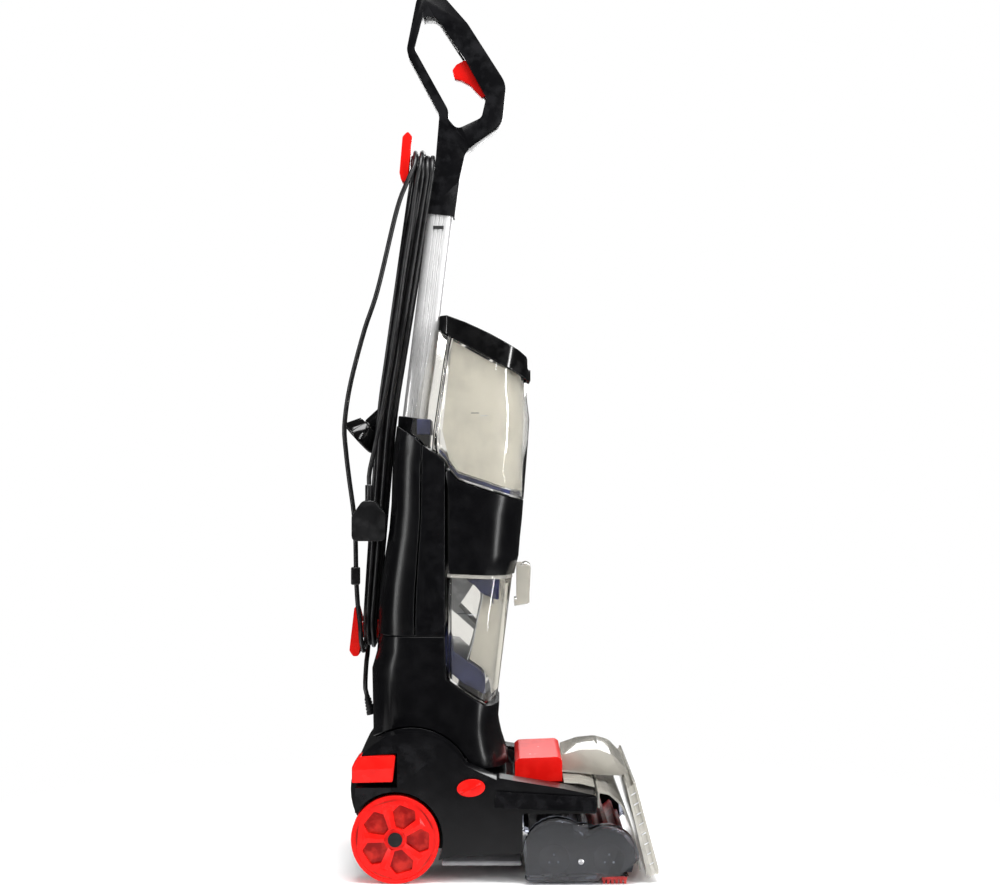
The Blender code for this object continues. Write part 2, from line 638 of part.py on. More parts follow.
# ---- upright ----
def make_body():
    skirt_depths = [0, 0.03, 0.08, 0.13, 0.18, 0.25, 0.31, 0.38, 0.52, 0.66, 0.80, 0.92, 0.985, 1.005, 1.12,
                    1.28, 1.45, 1.6, 1.75, 1.88, 2.0]

    def skirt_top(x):
        if x < SEAM_X - 0.0006:
            return 0.2995
        return bay_floor(min(x, BAY_LIP_X)) - 0.0008

    strip_shell("lower_body", body_stations(skirt_depths, drum_top, skirt_top, 6), {"bottom"}, "black")
    drum = [(0.0094, 0.1060), (DRUM_RADIUS, 0.1060), (DRUM_RADIUS, -0.1060), (0.0094, -0.1060),
            (0.0094, -0.1035), (DRUM_RADIUS - WALL, -0.1035), (DRUM_RADIUS - WALL, 0.1035),
            (0.0094, 0.1035)]
    turned("pivot_drum", drum, (PIVOT[0], 0, PIVOT[1]), (0, 1, 0), "black", 48)
    rear = strip_shell("rear_shell", body_stations([0, 0.03, 0.08, 0.15, 0.25, 0.40, 0.5380],
                                                   lambda x: 0.3001, lambda x: seat(x) - 0.0005, 8),
                       {"front"}, "black")
    liner = strip_shell("tank_bay_liner", body_stations([0.5640, 0.70, 0.85, 0.985],
                                                        lambda x: 0.3001, lambda x: seat(x) - 0.0005, 8),
                        {"rear"}, "black")
    socket = rounded([(-0.1340, 0.5300), (-0.1310, 0.5775), (-0.0880, 0.5720), (-0.0920, 0.5300)], 0.002, 3)
    block = as_mesh(plate("tube_socket", [socket], -0.0300, 0.0300, None))
    block.data.materials.append(material("tube_socket_material", *LOOKS["black"]))
    cut(block, tube_form("socket_bore", 0.0004, -0.010, 0.010))
    room = [(-0.160, 0.5294), (-0.160, 0.620), (-0.0874, 0.620), (-0.0914, 0.5294)]
    for shell in (rear, liner):
        cut(shell, as_mesh(plate("socket_room_" + shell.name, [room], -0.0304, 0.0304, None)))
    pod_depths = [1.045, 1.06, 1.11, 1.15, 1.3, 1.45, 1.6, 1.75, 1.86, 1.94, 2.0]
    strip_shell("motor_pod", body_stations(pod_depths, bay_roof, lambda x: seat(x) - 0.0005, 4),
                {"rear"}, "black")
    rod("suction_motor", (IMPELLER_X, 0, 0.3850), (IMPELLER_X, 0, 0.4420), 0.0390, "steel", 28)
    rod("impeller", (IMPELLER_X, 0, 0.4435), (IMPELLER_X, 0, 0.4550), 0.0370, "grey", 28)


def tube_form(name, clearance, low_extra, high_extra):
    """The tube's outline swept along its length, as a cutter or as the tube's outside."""
    top, foot = Vector((TUBE_TOP[0], 0, TUBE_TOP[1])), Vector((TUBE_FOOT[0], 0, TUBE_FOOT[1]))
    along = (top - foot).normalized()
    half_depth, half_width = TUBE_DEPTH / 2 + clearance, TUBE_WIDTH / 2 + clearance
    section = rounded([(-half_depth, -half_width), (half_depth, -half_width), (half_depth, half_width),
                       (-half_depth, half_width)], 0.008, 4)
    return swept(name, [section], foot + along * low_extra, top + along * high_extra, None)


def swept(name, outlines, start, end, look):
    """Closed outline, with holes after the first, swept straight from start to end."""
    curve = bpy.data.curves.new(name, "CURVE")
    curve.dimensions = "2D"
    curve.fill_mode = "BOTH"
    curve.extrude = (end - start).length / 2
    for outline in outlines:
        spline = curve.splines.new("POLY")
        spline.points.add(len(outline) - 1)
        for point, (x, y) in zip(spline.points, outline):
            point.co = (x, y, 0, 1)
        spline.use_cyclic_u = True
    obj = finish(bpy.data.objects.new(name, curve), look)
    obj.rotation_euler = (0, math.atan2(end.x - start.x, end.z - start.z), 0)
    obj.location = (start + end) / 2
    return as_mesh(obj)


def make_tube():
    top, foot = Vector((TUBE_TOP[0], 0, TUBE_TOP[1])), Vector((TUBE_FOOT[0], 0, TUBE_FOOT[1]))
    half_depth, half_width = TUBE_DEPTH / 2, TUBE_WIDTH / 2
    outlines = []
    for inset, radius in ((0.0, 0.008), (TUBE_WALL, 0.0065)):
        a, b = half_depth - inset, half_width - inset
        outlines.append(rounded([(-a, -b), (a, -b), (a, b), (-a, b)], radius, 4))
    tube_mesh = swept("handle_tube", outlines, foot, top, None)
    tube_mesh.data.materials.append(material("handle_tube_material", *LOOKS["aluminium"]))
    along = (top - foot).normalized()
    slot_at = foot + along * 0.2920
    cut(tube_mesh, box("clip_slot", slot_at - Vector((0.0065, 0.0215, 0.0023)),
                       slot_at + Vector((0.0065, -0.0150, 0.0023)), None))


def handle_outlines():
    outer = rounded([(-0.0990, 1.1200), (-0.0720, 1.1200), (-0.0420, 1.0860), (0.0080, 1.0080),
                     (0.0030, 0.9570),
                     (-0.0450, 0.9200), (-0.0530, 0.8820), (-0.0590, 0.8360), (-0.0955, 0.8400),
                     (-0.0850, 0.8910), (-0.0785, 0.9690), (-0.1215, 1.0500), (-0.1080, 1.1180)],
                    [0.008, 0.012, 0.03, 0.03, 0.02, 0.025, 0.02, 0.001, 0.001, 0.02, 0.02, 0.02, 0.012], 5)
    inner = rounded([(-0.1000, 1.0950), (-0.0820, 1.0950), (-0.0470, 1.0430), (-0.0180, 0.9900),
                     (-0.0240, 0.9640), (-0.0560, 0.9490), (-0.0670, 0.9620), (-0.0670, 0.9740),
                     (-0.1110, 1.0530)],
                    [0.006, 0.012, 0.02, 0.008, 0.01, 0.01, 0.008, 0.02, 0.01], 5)
    return outer, inner


def make_handle():
    outer, inner = handle_outlines()
    for side_name, side in sides():
        half = as_mesh(plate("handle_shell_" + side_name, [outer, inner], -0.0215, 0.0215, None, 0.0060))
        half.data.materials.append(material("handle_material_" + side_name, *LOOKS["black"]))
        cut(half, tube_form("neck_bore_" + side_name, 0.0004, 0.2000, 0.0010))
        room = [(-0.0640, 1.0520), (-0.0360, 1.0560), (-0.0240, 1.0440), (-0.0080, 1.0080),
                (-0.0100, 0.9920),
                (-0.0240, 0.9850), (-0.0640, 0.9850)]
        cut(half, as_mesh(plate("trigger_room_" + side_name, [room], -0.0090, 0.0090, None)))
        away = span(-side, -0.0002, 0.0400)
        cut(half, box("handle_split_" + side_name, (-0.2000, away[0], 0.7500), (0.1000, away[1], 1.2000),
                      None))
    trigger = rounded([(-0.0470, 1.0405), (-0.0570, 1.0350), (-0.0620, 1.0280), (-0.0590, 1.0170),
                       (-0.0510, 1.0150), (-0.0390, 1.0090), (-0.0235, 0.9925), (-0.0125, 0.9980),
                       (-0.0350, 1.0370)],
                      0.0025, 3)
    plate("trigger", [trigger], -0.0085, 0.0085, "red", 0.0012)


def half_round(name, centre_z, x_low, x_high, upwards, look):
    """Half-round arm along X that the cord is wound on."""
    outline = arc((0, centre_z), ARM_RADIUS, 0, 180 if upwards else -180, 12)
    mesh = bmesh.new()
    face = mesh.faces.new([mesh.verts.new((x_low, y, z)) for y, z in outline])
    grown = bmesh.ops.extrude_face_region(mesh, geom=[face], use_keep_orig=True)
    moved = [item for item in grown["geom"] if isinstance(item, bmesh.types.BMVert)]
    bmesh.ops.translate(mesh, verts=moved, vec=(x_high - x_low, 0, 0))
    bmesh.ops.recalc_face_normals(mesh, faces=mesh.faces)
    return from_bmesh(name, mesh, look)


def make_hooks():
    half_round("upper_hook_arm", UPPER_ARM[1], -0.1160, -0.0856, True, "black")
    blade = rounded([(-0.1195, 0.9470), (-0.1265, 0.9400), (-0.1305, 0.8930), (-0.1280, 0.8820),
                     (-0.1200, 0.8830),
                     (-0.1140, 0.9400)], [0.003, 0.005, 0.006, 0.004, 0.003, 0.003], 3)
    plate("upper_cord_hook", [blade], -0.0190, 0.0190, "red", 0.0025)
    blade = rounded([(-0.1905, 0.2655), (-0.1955, 0.2730), (-0.1890, 0.3290), (-0.1840, 0.3290),
                     (-0.1785, 0.3080),
                     (-0.1785, 0.2950), (-0.1835, 0.2660)], [0.004, 0.005, 0.002, 0.002, 0.003, 0.003,
                                                             0.003], 3)
    lower = as_mesh(plate("lower_cord_hook", [blade], -0.0190, 0.0190, "red"))
    join(lower, half_round("lower_hook_arm", LOWER_ARM[1], -0.1825, -0.1562, False, None))


def make_clean_tank():
    rear_line = [(0.480, -0.0855), (0.546, -0.0855), (0.658, -0.0690), (0.700, -0.0630)]
    front_line = [(0.460, 0.0300), (0.469, 0.0300), (0.558, 0.0370), (0.582, 0.0380), (0.600, 0.0340),
                  (0.640, 0.0330)]
    rim = [(-0.090, 0.6895), (-0.0770, 0.6830), (0.0320, 0.6240), (0.045, 0.6170)]
    plan = [(0.0, 0.0960), (0.04, TANK_HALF), (0.35, TANK_HALF), (0.60, 0.1010), (0.76, 0.0950),
            (0.88, 0.0830),
            (0.95, 0.0680), (1.0, 0.0460)]

    def tank_x(depth, z):
        back = between(rear_line, z)
        return back + (between(front_line, z) - back) * depth

    def meet(depth, rule):
        z = rule(tank_x(depth, 0.55))
        for _ in range(8):
            z = rule(tank_x(depth, z))
        return z

    stations = []
    for depth in (0, 0.04, 0.08, 0.12, 0.15, 0.18, 0.21, 0.25, 0.29, 0.35, 0.47, 0.60, 0.76, 0.88, 0.95, 1.0):
        low = meet(depth, lambda x: seat(x) + 0.0013)
        high = meet(depth, lambda x: between(rim, x))
        heights = [low + (high - low) * k / 6 for k in range(7)]
        stations.append((between(plan, depth), [(tank_x(depth, z), z) for z in heights]))
    shell = strip_shell("clean_tank", stations, {"top"}, "clear")
    for side_name, side in sides():
        wing = rounded([(-0.1120, 0.5560), (-0.1090, 0.5730), (-0.0810, 0.6840), (-0.0660, 0.6760),
                        (-0.0760, 0.5400), (-0.0900, 0.5370), (-0.1040, 0.5490)], 0.002, 3)
        join(shell, as_mesh(plate("tank_wing_" + side_name, [wing], *span(side, 0.0990, 0.1012), None)))
    turned("clean_tank_valve", [(0.0, 0.014), (0.007, 0.014), (0.012, 0.010), (0.012, 0.0), (0.0, 0.0)],
           (-0.0200, 0, seat(-0.020) + 0.0090), (0, 0, 1), "grey", 24)
    lid_top = [(-0.080, 0.7000), (-0.0710, 0.7035), (-0.0620, 0.7020), (-0.0280, 0.6880), (0.0080, 0.6690),
               (0.0250, 0.6590), (0.0350, 0.6510), (0.0390, 0.6400)]
    stations = []
    ends = (-0.0780, 0.0390)
    plan = [(0.0, 0.088), (0.03, 0.098), (0.10, 0.1035), (0.3, 0.1040), (0.55, 0.1035), (0.74, 0.098),
            (0.87, 0.087), (0.95, 0.072), (1.0, 0.050)]
    for depth, half in plan:
        x = ends[0] + (ends[1] - ends[0]) * depth
        low = between(rim, x) + 0.0008
        high = between(lid_top, x)
        stations.append((half, [(x, low), (x, (low + high) / 2), (x, high)]))
    strip_shell("clean_tank_lid", stations, {"bottom"}, "gloss_black", wall=0.003)


def make_dirty_tank():
    rear_line = [(0.250, -0.0665), (0.400, -0.0665)]
    front_line = [(0.200, -0.0060), (0.222, -0.0030), (0.345, 0.0120), (0.380, 0.0165)]
    plan = [(0.0, 0.0960), (0.06, 0.1010), (0.40, 0.1010), (0.62, 0.0990), (0.78, 0.0910), (0.90, 0.0760),
            (1.0, 0.0460)]

    def tank_x(depth, z):
        back = between(rear_line, z)
        return back + (between(front_line, z) - back) * depth

    stations = []
    for depth in (0, 0.06, 0.2, 0.4, 0.62, 0.78, 0.90, 1.0):
        z = 0.25
        for _ in range(12):
            z = bay_floor(tank_x(depth, z)) + 0.0006
        low, high = z, bay_roof(tank_x(depth, 0.37)) - 0.0058
        heights = [low + (high - low) * k / 4 for k in range(5)]
        stations.append((between(plan, depth), [(tank_x(depth, z), z) for z in heights]))
    strip_shell("dirty_tank", stations, {"top"}, "clear")
    lid = []
    for depth in (0, 0.06, 0.2, 0.4, 0.62, 0.78, 0.90, 1.0):
        x = tank_x(depth, 0.375)
        lid.append((between(plan, depth), [(x, bay_roof(x) - 0.0055), (x, bay_roof(x) - 0.0006)]))
    strip_shell("dirty_tank_lid", lid, set(), "navy", wall=0)
    handle = rounded([(0.0185, 0.3320), (0.0375, 0.3350), (0.0400, 0.3840), (0.0330, 0.3870),
                      (0.0245, 0.3820),
                      (0.0245, 0.3770), (0.0330, 0.3770), (0.0315, 0.3400), (0.0185, 0.3395)],
                     [0.0005, 0.004, 0.005, 0.004, 0.001, 0.001, 0.003, 0.002, 0.0005], 3)
    plate("dirty_tank_handle", [handle], -0.0300, 0.0300, "clear", 0.0008)
    inlet = rounded([(-0.0620, 0.3660), (-0.0620, 0.3280), (-0.0300, 0.3000), (-0.0270, 0.3040),
                     (-0.0500, 0.3300),
                     (-0.0350, 0.3600), (-0.0350, 0.3660)], 0.002, 3)
    plate("separator", [inlet], -0.0400, 0.0400, "grey")
    mesh = bmesh.new()
    bmesh.ops.create_uvsphere(mesh, u_segments=20, v_segments=12, radius=0.0120,
                              matrix=Matrix.Translation((-0.0080, 0, 0.3400)))
    from_bmesh("shut_off_float", mesh, "navy", smooth=True)


def make_rear_fittings():
    """Hose port cap on the back of the upright, and the cord's strain relief."""
    along = Vector((-0.047, 0, -0.043)).normalized()
    root = Vector((-0.1352, 0, 0.5945)) + along * 0.006
    cap = [(0.0, 0.0640), (0.0240, 0.0640), (0.0260, 0.0625), (0.0255, 0.0600), (0.0170, 0.0400),
           (0.0110, 0.0395),
           (0.0110, 0.0090), (0.0, 0.0090)]
    turned("hose_port_cap", cap, root, tuple(along), "gloss_black", 32)


UPRIGHT = ["lower_body", "pivot_drum", "rear_shell", "tank_bay_liner", "tube_socket", "motor_pod",
           "suction_motor", "handle_tube", "handle_shell_left", "handle_shell_right", "upper_hook_arm",
           "lower_cord_hook", "hose_port_cap", "cord_hank", "cord_strain_relief", "cord_tail",
           "cord_loose_run", "cord_free_end", "mains_plug"]
HANK_LINE = [(0.310, -0.1680), (0.353, -0.1650), (0.577, -0.1480), (0.890, -0.1002)]
HANK_HALF = [(0.310, 0.0095), (0.577, 0.0125), (0.800, 0.0130), (0.890, 0.0148)]


def hank_outline(radius):
    """Outline across the turns: round over both arms, with points down the straight runs."""
    top, foot = UPPER_ARM[1], LOWER_ARM[1]
    steps = [step / 12 for step in range(1, 12)]
    down = [(-radius, top + (foot - top) * t) for t in steps]
    up = [(radius, foot + (top - foot) * t) for t in steps]
    return arc((0, top), radius, 0, 180, 14) + down + arc((0, foot), radius, 180, 360, 14) + up


def make_hank():
    """The wound cord as one solid, thick where it lies over the upper arm."""
    curve = bpy.data.curves.new("cord_hank", "CURVE")
    curve.dimensions = "2D"
    curve.fill_mode = "BOTH"
    curve.extrude = 1.0
    for index, radius in enumerate((ARM_RADIUS + 0.0132, ARM_RADIUS + 0.0004)):
        outline = turning(hank_outline(radius), index > 0)
        spline = curve.splines.new("POLY")
        spline.points.add(len(outline) - 1)
        for point, (y, z) in zip(spline.points, outline):
            point.co = (y, z, 0, 1)
        spline.use_cyclic_u = True
    hank = as_mesh(finish(bpy.data.objects.new("cord_hank", curve), "rubber"))
    for vertex in hank.data.vertices:
        y, z, side = vertex.co
        height = min(max(z, LOWER_ARM[1]), UPPER_ARM[1])
        vertex.co = (between(HANK_LINE, height) + side * between(HANK_HALF, height), y, z)


def on_axis(name, place, pieces):
    """Empty on a joint's axis that carries the pieces turning or sliding there."""
    pivot = bpy.data.objects.new(name, None)
    pivot.location = place
    pivot.empty_display_size = 0.02
    PARTS.objects.link(pivot)
    for piece in pieces:
        obj = bpy.data.objects[piece]
        obj.parent = pivot
        obj.matrix_parent_inverse = Matrix.Translation(-Vector(place))


def make_axes():
    """Every moving piece hangs from an empty on its joint's axis."""
    recline = (PIVOT[0], 0, PIVOT[1])
    on_axis("recline_axis", recline, UPRIGHT)
    for side_name, side in sides():
        on_axis("wheel_axis_" + side_name, (WHEEL_AXIS[0], side * 0.1335, WHEEL_AXIS[1]),
                ["rear_wheel_" + side_name])
    on_axis("recline_pedal_axis", (PEDAL_AXIS[0], -0.1350, PEDAL_AXIS[1]), ["recline_pedal"])
    on_axis("power_pedal_axis", (PEDAL_AXIS[0], 0.1350, PEDAL_AXIS[1]), ["power_pedal"])
    on_axis("selector_axis", (KNOB_AXIS[0], KNOB_Y, KNOB_AXIS[1]), ["selector_knob"])
    on_axis("motor_pulley_axis", (MOTOR_AXIS[0], 0, MOTOR_AXIS[1]), ["motor_pulley"])
    on_axis("brush_axis_rear", (BRUSH_REAR[0], 0, BRUSH_REAR[1]), ["brush_roll_rear"])
    on_axis("brush_axis_front", (BRUSH_FRONT[0], 0, BRUSH_FRONT[1]), ["brush_roll_front"])
    on_axis("latch_axis", (LATCH_AXIS[0], 0, LATCH_AXIS[1]), ["nozzle_latch"])
    on_axis("nozzle_slide", (0.1700, 0, 0.1000),
            ["hood_window", "nozzle_back_plate", "nozzle_front_plate", "nozzle_duct"])
    on_axis("trigger_axis", (TRIGGER_AXIS[0], 0, TRIGGER_AXIS[1]), ["trigger"])
    on_axis("cord_hook_axis", (-0.1200, 0, UPPER_ARM[1]), ["upper_cord_hook"])
    on_axis("impeller_axis", (IMPELLER_X, 0, 0.4490), ["impeller"])
    on_axis("clean_tank_slide", (-0.0200, 0, 0.5000), ["clean_tank", "clean_tank_valve", "clean_tank_lid"])
    on_axis("dirty_tank_slide", (0, 0, 0.2900),
            ["dirty_tank", "dirty_tank_lid", "dirty_tank_handle", "separator", "shut_off_float"])
    for name in ("trigger_axis", "cord_hook_axis", "impeller_axis", "clean_tank_slide", "dirty_tank_slide"):
        rider = bpy.data.objects[name]
        rider.parent = bpy.data.objects["recline_axis"]
        rider.matrix_parent_inverse = Matrix.Translation(-Vector(recline))


def make_cord():
    """Mains cord: strain relief, tail, wound turns, loose outer run, free end and plug."""
    make_hank()
    along = Vector((-0.23, 0, 0.973)).normalized()
    relief = [(0.0, 0.0240), (0.0042, 0.0240), (0.0060, 0.0020), (0.0060, 0.0), (0.0, 0.0)]
    foot = Vector((-0.1680, 0, 0.1880))
    turned("cord_strain_relief", relief, foot, tuple(along), "rubber", 24)
    start = foot + along * 0.0243
    tail = [start, start + along * 0.010, (-0.1765, 0.0090, 0.2330), (-0.1760, 0.0200, 0.2530),
            (-0.1745, 0.0290, 0.2700), (-0.1685, 0.0300, 0.2860)]
    tube("cord_tail", smooth_route(tail, 0.008), CORD / 2, "rubber")
    loose = [(-0.1190, -0.0388, 0.8800), (-0.1328, -0.0388, 0.8420), (-0.1573, -0.0388, 0.7400),
             (-0.1749, -0.0388, 0.6860), (-0.1927, -0.0388, 0.6170), (-0.2000, -0.0388, 0.5660),
             (-0.1983, -0.0388, 0.5330), (-0.1939, -0.0388, 0.4950), (-0.1884, -0.0388, 0.4550),
             (-0.1860, -0.0388, 0.4220), (-0.1850, -0.0388, 0.3720), (-0.1850, -0.0388, 0.3440),
             (-0.1830, -0.0385, 0.3150), (-0.1780, -0.0340, 0.2900)]
    tube("cord_loose_run", smooth_route(loose, 0.016), CORD / 2, "rubber")
    end = [(-0.1090, -0.0388, 0.8850), (-0.1150, -0.0390, 0.8200), (-0.1237, -0.0400, 0.7650),
           (-0.1350, -0.0430, 0.6800), (-0.1480, -0.0510, 0.6000), (-0.1600, -0.0620, 0.5350),
           (-0.1660, -0.0672, 0.5050), (-0.1665, -0.0675, 0.4893)]
    tube("cord_free_end", smooth_route(end, 0.016), CORD / 2, "rubber")
    face = rounded([(-0.1880, 0.4180), (-0.1880, 0.4500), (-0.1745, 0.4690), (-0.1585, 0.4690),
                    (-0.1450, 0.4500),
                    (-0.1450, 0.4180)], 0.007, 3)
    plug = as_mesh(plate("mains_plug", [face], -0.0800, -0.0548, "rubber"))
    join(plug, rod("plug_grip", (-0.1665, -0.0675, 0.4670), (-0.1665, -0.0675, 0.4890), 0.0050, None, 16))
    for x, z, half in ((-0.1665, 0.4320, 0.0040), (-0.1775, 0.4540, 0.0032), (-0.1555, 0.4540, 0.0032)):
        join(plug, box("plug_pin", (x - half, -0.0560, z - 0.0020), (x + half, -0.0370, z + 0.0020), None))


for side_label, side_sign in sides():
    make_side(side_label, side_sign)
    make_frame(side_label, side_sign)
    make_edge_brush(side_label, side_sign)
make_base_covers()
make_brushes()
make_nozzle()
make_knob()
make_body()
make_tube()
make_handle()
make_hooks()
make_clean_tank()
make_dirty_tank()
make_rear_fittings()
make_cord()
make_axes()
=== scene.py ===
import json
import math

import bmesh
import bpy
from mathutils import Matrix, Vector

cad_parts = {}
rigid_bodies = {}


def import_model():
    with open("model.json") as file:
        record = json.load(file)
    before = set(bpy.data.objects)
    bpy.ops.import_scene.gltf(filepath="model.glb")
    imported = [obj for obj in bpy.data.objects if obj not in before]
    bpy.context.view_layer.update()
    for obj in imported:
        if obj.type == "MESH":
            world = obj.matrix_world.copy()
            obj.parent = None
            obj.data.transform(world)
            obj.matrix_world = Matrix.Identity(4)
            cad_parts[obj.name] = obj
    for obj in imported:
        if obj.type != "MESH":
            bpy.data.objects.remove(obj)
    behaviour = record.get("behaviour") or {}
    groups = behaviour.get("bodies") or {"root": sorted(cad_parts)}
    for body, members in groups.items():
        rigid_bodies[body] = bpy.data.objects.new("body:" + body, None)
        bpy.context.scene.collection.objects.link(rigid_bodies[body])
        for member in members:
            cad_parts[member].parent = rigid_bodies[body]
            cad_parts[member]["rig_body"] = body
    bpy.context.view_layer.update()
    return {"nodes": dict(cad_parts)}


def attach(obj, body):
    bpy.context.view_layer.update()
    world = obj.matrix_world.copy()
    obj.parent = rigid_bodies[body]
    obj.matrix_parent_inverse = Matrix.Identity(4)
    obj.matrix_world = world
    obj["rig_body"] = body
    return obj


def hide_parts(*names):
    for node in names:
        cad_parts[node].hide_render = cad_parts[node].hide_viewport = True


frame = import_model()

# ---- sizes (metres) ----
CAMERA_PLACE = (0.0, -2.5, 0.5417)
CAMERA_LENS = 68.86
CORD = 0.0062
ARM_RADIUS = 0.0220
UPPER_ARM_Z = 0.8900
LOWER_ARM_Z = 0.3100
WINDING_LINE = [(0.310, -0.1680), (0.353, -0.1650), (0.577, -0.1480), (0.890, -0.1003)]
TUBE_TOP = Vector((-0.0735, 0, 0.8740))
TUBE_FOOT = Vector((-0.1155, 0, 0.5320))
WHEEL_AXIS = (-0.129, 0.0545)
SEAT = [(-0.140, 0.570), (-0.109, 0.5510), (-0.093, 0.5370), (-0.0765, 0.5265), (-0.069, 0.5190),
        (-0.062, 0.5060), (-0.053, 0.4950), (0.012, 0.4735), (0.040, 0.4670)]


def between(table, value):
    """Straight-line value between the rows (at, value) of a table."""
    for (a, low), (b, high) in zip(table, table[1:]):
        if value <= b:
            return low + (high - low) * (value - a) / (b - a)
    return table[-1][1]


def smooth_step(t):
    t = min(max(t, 0.0), 1.0)
    return t * t * (3 - 2 * t)


# ---- camera ----
camera = bpy.data.objects.new("side_camera", bpy.data.cameras.new("side_camera"))
camera.data.lens = CAMERA_LENS
camera.location = CAMERA_PLACE
camera.rotation_euler = (math.pi / 2, 0, 0)
bpy.context.scene.collection.objects.link(camera)
bpy.context.scene.camera = camera


# ---- mains cord ----
def smooth_route(points, spacing):
    """Evenly spaced points on a smooth curve through the given ones."""
    points = [Vector(p) for p in points]
    ends = [2 * points[0] - points[1]] + points + [2 * points[-1] - points[-2]]
    fine = []
    for a, b, c, d in zip(ends, ends[1:], ends[2:], ends[3:]):
        for step in range(24):
            t = step / 24
            fine.append(0.5 * (2 * b + (c - a) * t + (2 * a - 5 * b + 4 * c - d) * t * t
                               + (3 * b - a - 3 * c + d) * t ** 3))
    fine.append(points[-1])
    length = sum((b - a).length for a, b in zip(fine, fine[1:]))
    count = max(2, round(length / spacing))
    route, walked, target = [fine[0]], 0.0, length / count
    for a, b in zip(fine, fine[1:]):
        step = (b - a).length
        while walked + step >= target - 1e-9 and len(route) < count:
            route.append(a.lerp(b, (target - walked) / step))
            target += length / count
        walked += step
    route.append(fine[-1])
    return route


LAYER = ARM_RADIUS + 0.0035          # first layer's centreline round an arm
PITCH = 0.00628
WOUND_TURNS = 5
TOP_OFFSET = [(turn - 2) * PITCH for turn in range(WOUND_TURNS)]
FOOT_OFFSET = [(-1.0 * PITCH, 0), (-0.5 * PITCH, 1), (0.0, 0), (0.5 * PITCH, 1), (1.0 * PITCH, 0)]


def straight_run(side, top, foot, downwards, bulge=0.0):
    """Points down or up one side; top and foot are (x offset, layer radius)."""
    run = []
    for step in range(1, 12):
        t = step / 12
        z = UPPER_ARM_Z + (LOWER_ARM_Z - UPPER_ARM_Z) * t
        x = between(WINDING_LINE, z) + top[0] + (foot[0] - top[0]) * t
        radius = top[1] + (foot[1] - top[1]) * smooth_step(t / 0.3)
        run.append(Vector((x, side * (radius + bulge * math.sin(math.pi * t)), z)))
    return run if downwards else run[::-1]


def over_arm(offset_from, offset_to, radius_from, radius_to, centre_z, upwards):
    """Half circle over the upper arm, from the far side to the near, or under the lower one, back again."""
    half = []
    for step in range(0, 9):
        t = step / 8
        radius = radius_from + (radius_to - radius_from) * t
        angle = math.pi * t
        x = between(WINDING_LINE, centre_z) + offset_from + (offset_to - offset_from) * t
        y = radius * math.cos(angle) * (1 if upwards else -1)
        z = centre_z + radius * math.sin(angle) * (1 if upwards else -1)
        half.append(Vector((x, y, z)))
    return half


relief_foot = Vector((-0.1680, 0, 0.1880))
relief_along = Vector((-0.23, 0, 0.973)).normalized()
cord_exit = relief_foot + relief_along * 0.0243
route = [cord_exit, cord_exit + relief_along * 0.010, Vector((-0.1765, 0.0090, 0.2330)),
         Vector((-0.1760, 0.0200, 0.2530)), Vector((-0.1745, 0.0290, 0.2700)),
         Vector((-0.1740, 0.0270, 0.2900))]
far_foot = (FOOT_OFFSET[0][0], LAYER)
for turn in range(WOUND_TURNS):
    foot_layer = LAYER + FOOT_OFFSET[turn][1] * PITCH
    route += straight_run(1, (TOP_OFFSET[turn], LAYER), far_foot, downwards=False)
    route += over_arm(TOP_OFFSET[turn], TOP_OFFSET[turn], LAYER, LAYER, UPPER_ARM_Z, upwards=True)
    near_foot = (FOOT_OFFSET[turn][0], foot_layer)
    route += straight_run(-1, (TOP_OFFSET[turn], LAYER), near_foot, downwards=True)
    follower = FOOT_OFFSET[turn + 1] if turn + 1 < WOUND_TURNS else (0.0, 2)
    far_foot = (follower[0], LAYER + follower[1] * PITCH)
    route += over_arm(near_foot[0], far_foot[0], near_foot[1], far_foot[1], LOWER_ARM_Z, upwards=False)
# the loose turn, and the free end that the plug hangs on
outer = LAYER + PITCH
route += straight_run(1, (-1.5 * PITCH, outer), far_foot, downwards=False, bulge=0.002)
route += over_arm(-1.5 * PITCH, -1.5 * PITCH, outer, outer, UPPER_ARM_Z, upwards=True)[:-1]
route += [Vector(p) for p in (
    (-0.1190, -0.0360, 0.8800), (-0.1328, -0.0388, 0.8420), (-0.1573, -0.0388, 0.7400),
    (-0.1749, -0.0388, 0.6860), (-0.1927, -0.0388, 0.6170), (-0.2000, -0.0388, 0.5660),
    (-0.1983, -0.0388, 0.5330), (-0.1939, -0.0388, 0.4950), (-0.1884, -0.0388, 0.4550),
    (-0.1860, -0.0388, 0.4220), (-0.1850, -0.0388, 0.3720), (-0.1830, -0.0390, 0.3350))]
route += over_arm(-0.0120, -0.0080, LAYER + 2.1 * PITCH, LAYER + 2.1 * PITCH, LOWER_ARM_Z, upwards=False)
route += straight_run(1, (0.5 * PITCH, outer), (-0.0080, LAYER + 2.1 * PITCH), downwards=False)
route += over_arm(0.5 * PITCH, -0.5 * PITCH, outer, outer, UPPER_ARM_Z, upwards=True)[:-1]
route += [Vector(p) for p in (
    (-0.1075, -0.0345, 0.8780), (-0.1150, -0.0385, 0.8200), (-0.1237, -0.0400, 0.7650),
    (-0.1350, -0.0430, 0.6800), (-0.1480, -0.0510, 0.6000), (-0.1600, -0.0620, 0.5350),
    (-0.1660, -0.0672, 0.5050), (-0.1665, -0.0675, 0.4893))]
cord_points = smooth_route(route, 0.010)


# ---- surface effects ----
def effect_group(name, inputs, outputs):
    """Empty node group with named inputs and outputs."""
    group = bpy.data.node_groups.new(name, "ShaderNodeTree")
    for socket, kind, value in inputs:
        made = group.interface.new_socket(name=socket, in_out="INPUT", socket_type=kind)
        if value is not None:
            made.default_value = value
    for socket, kind in outputs:
        group.interface.new_socket(name=socket, in_out="OUTPUT", socket_type=kind)
    return group, group.nodes.new("NodeGroupInput"), group.nodes.new("NodeGroupOutput")


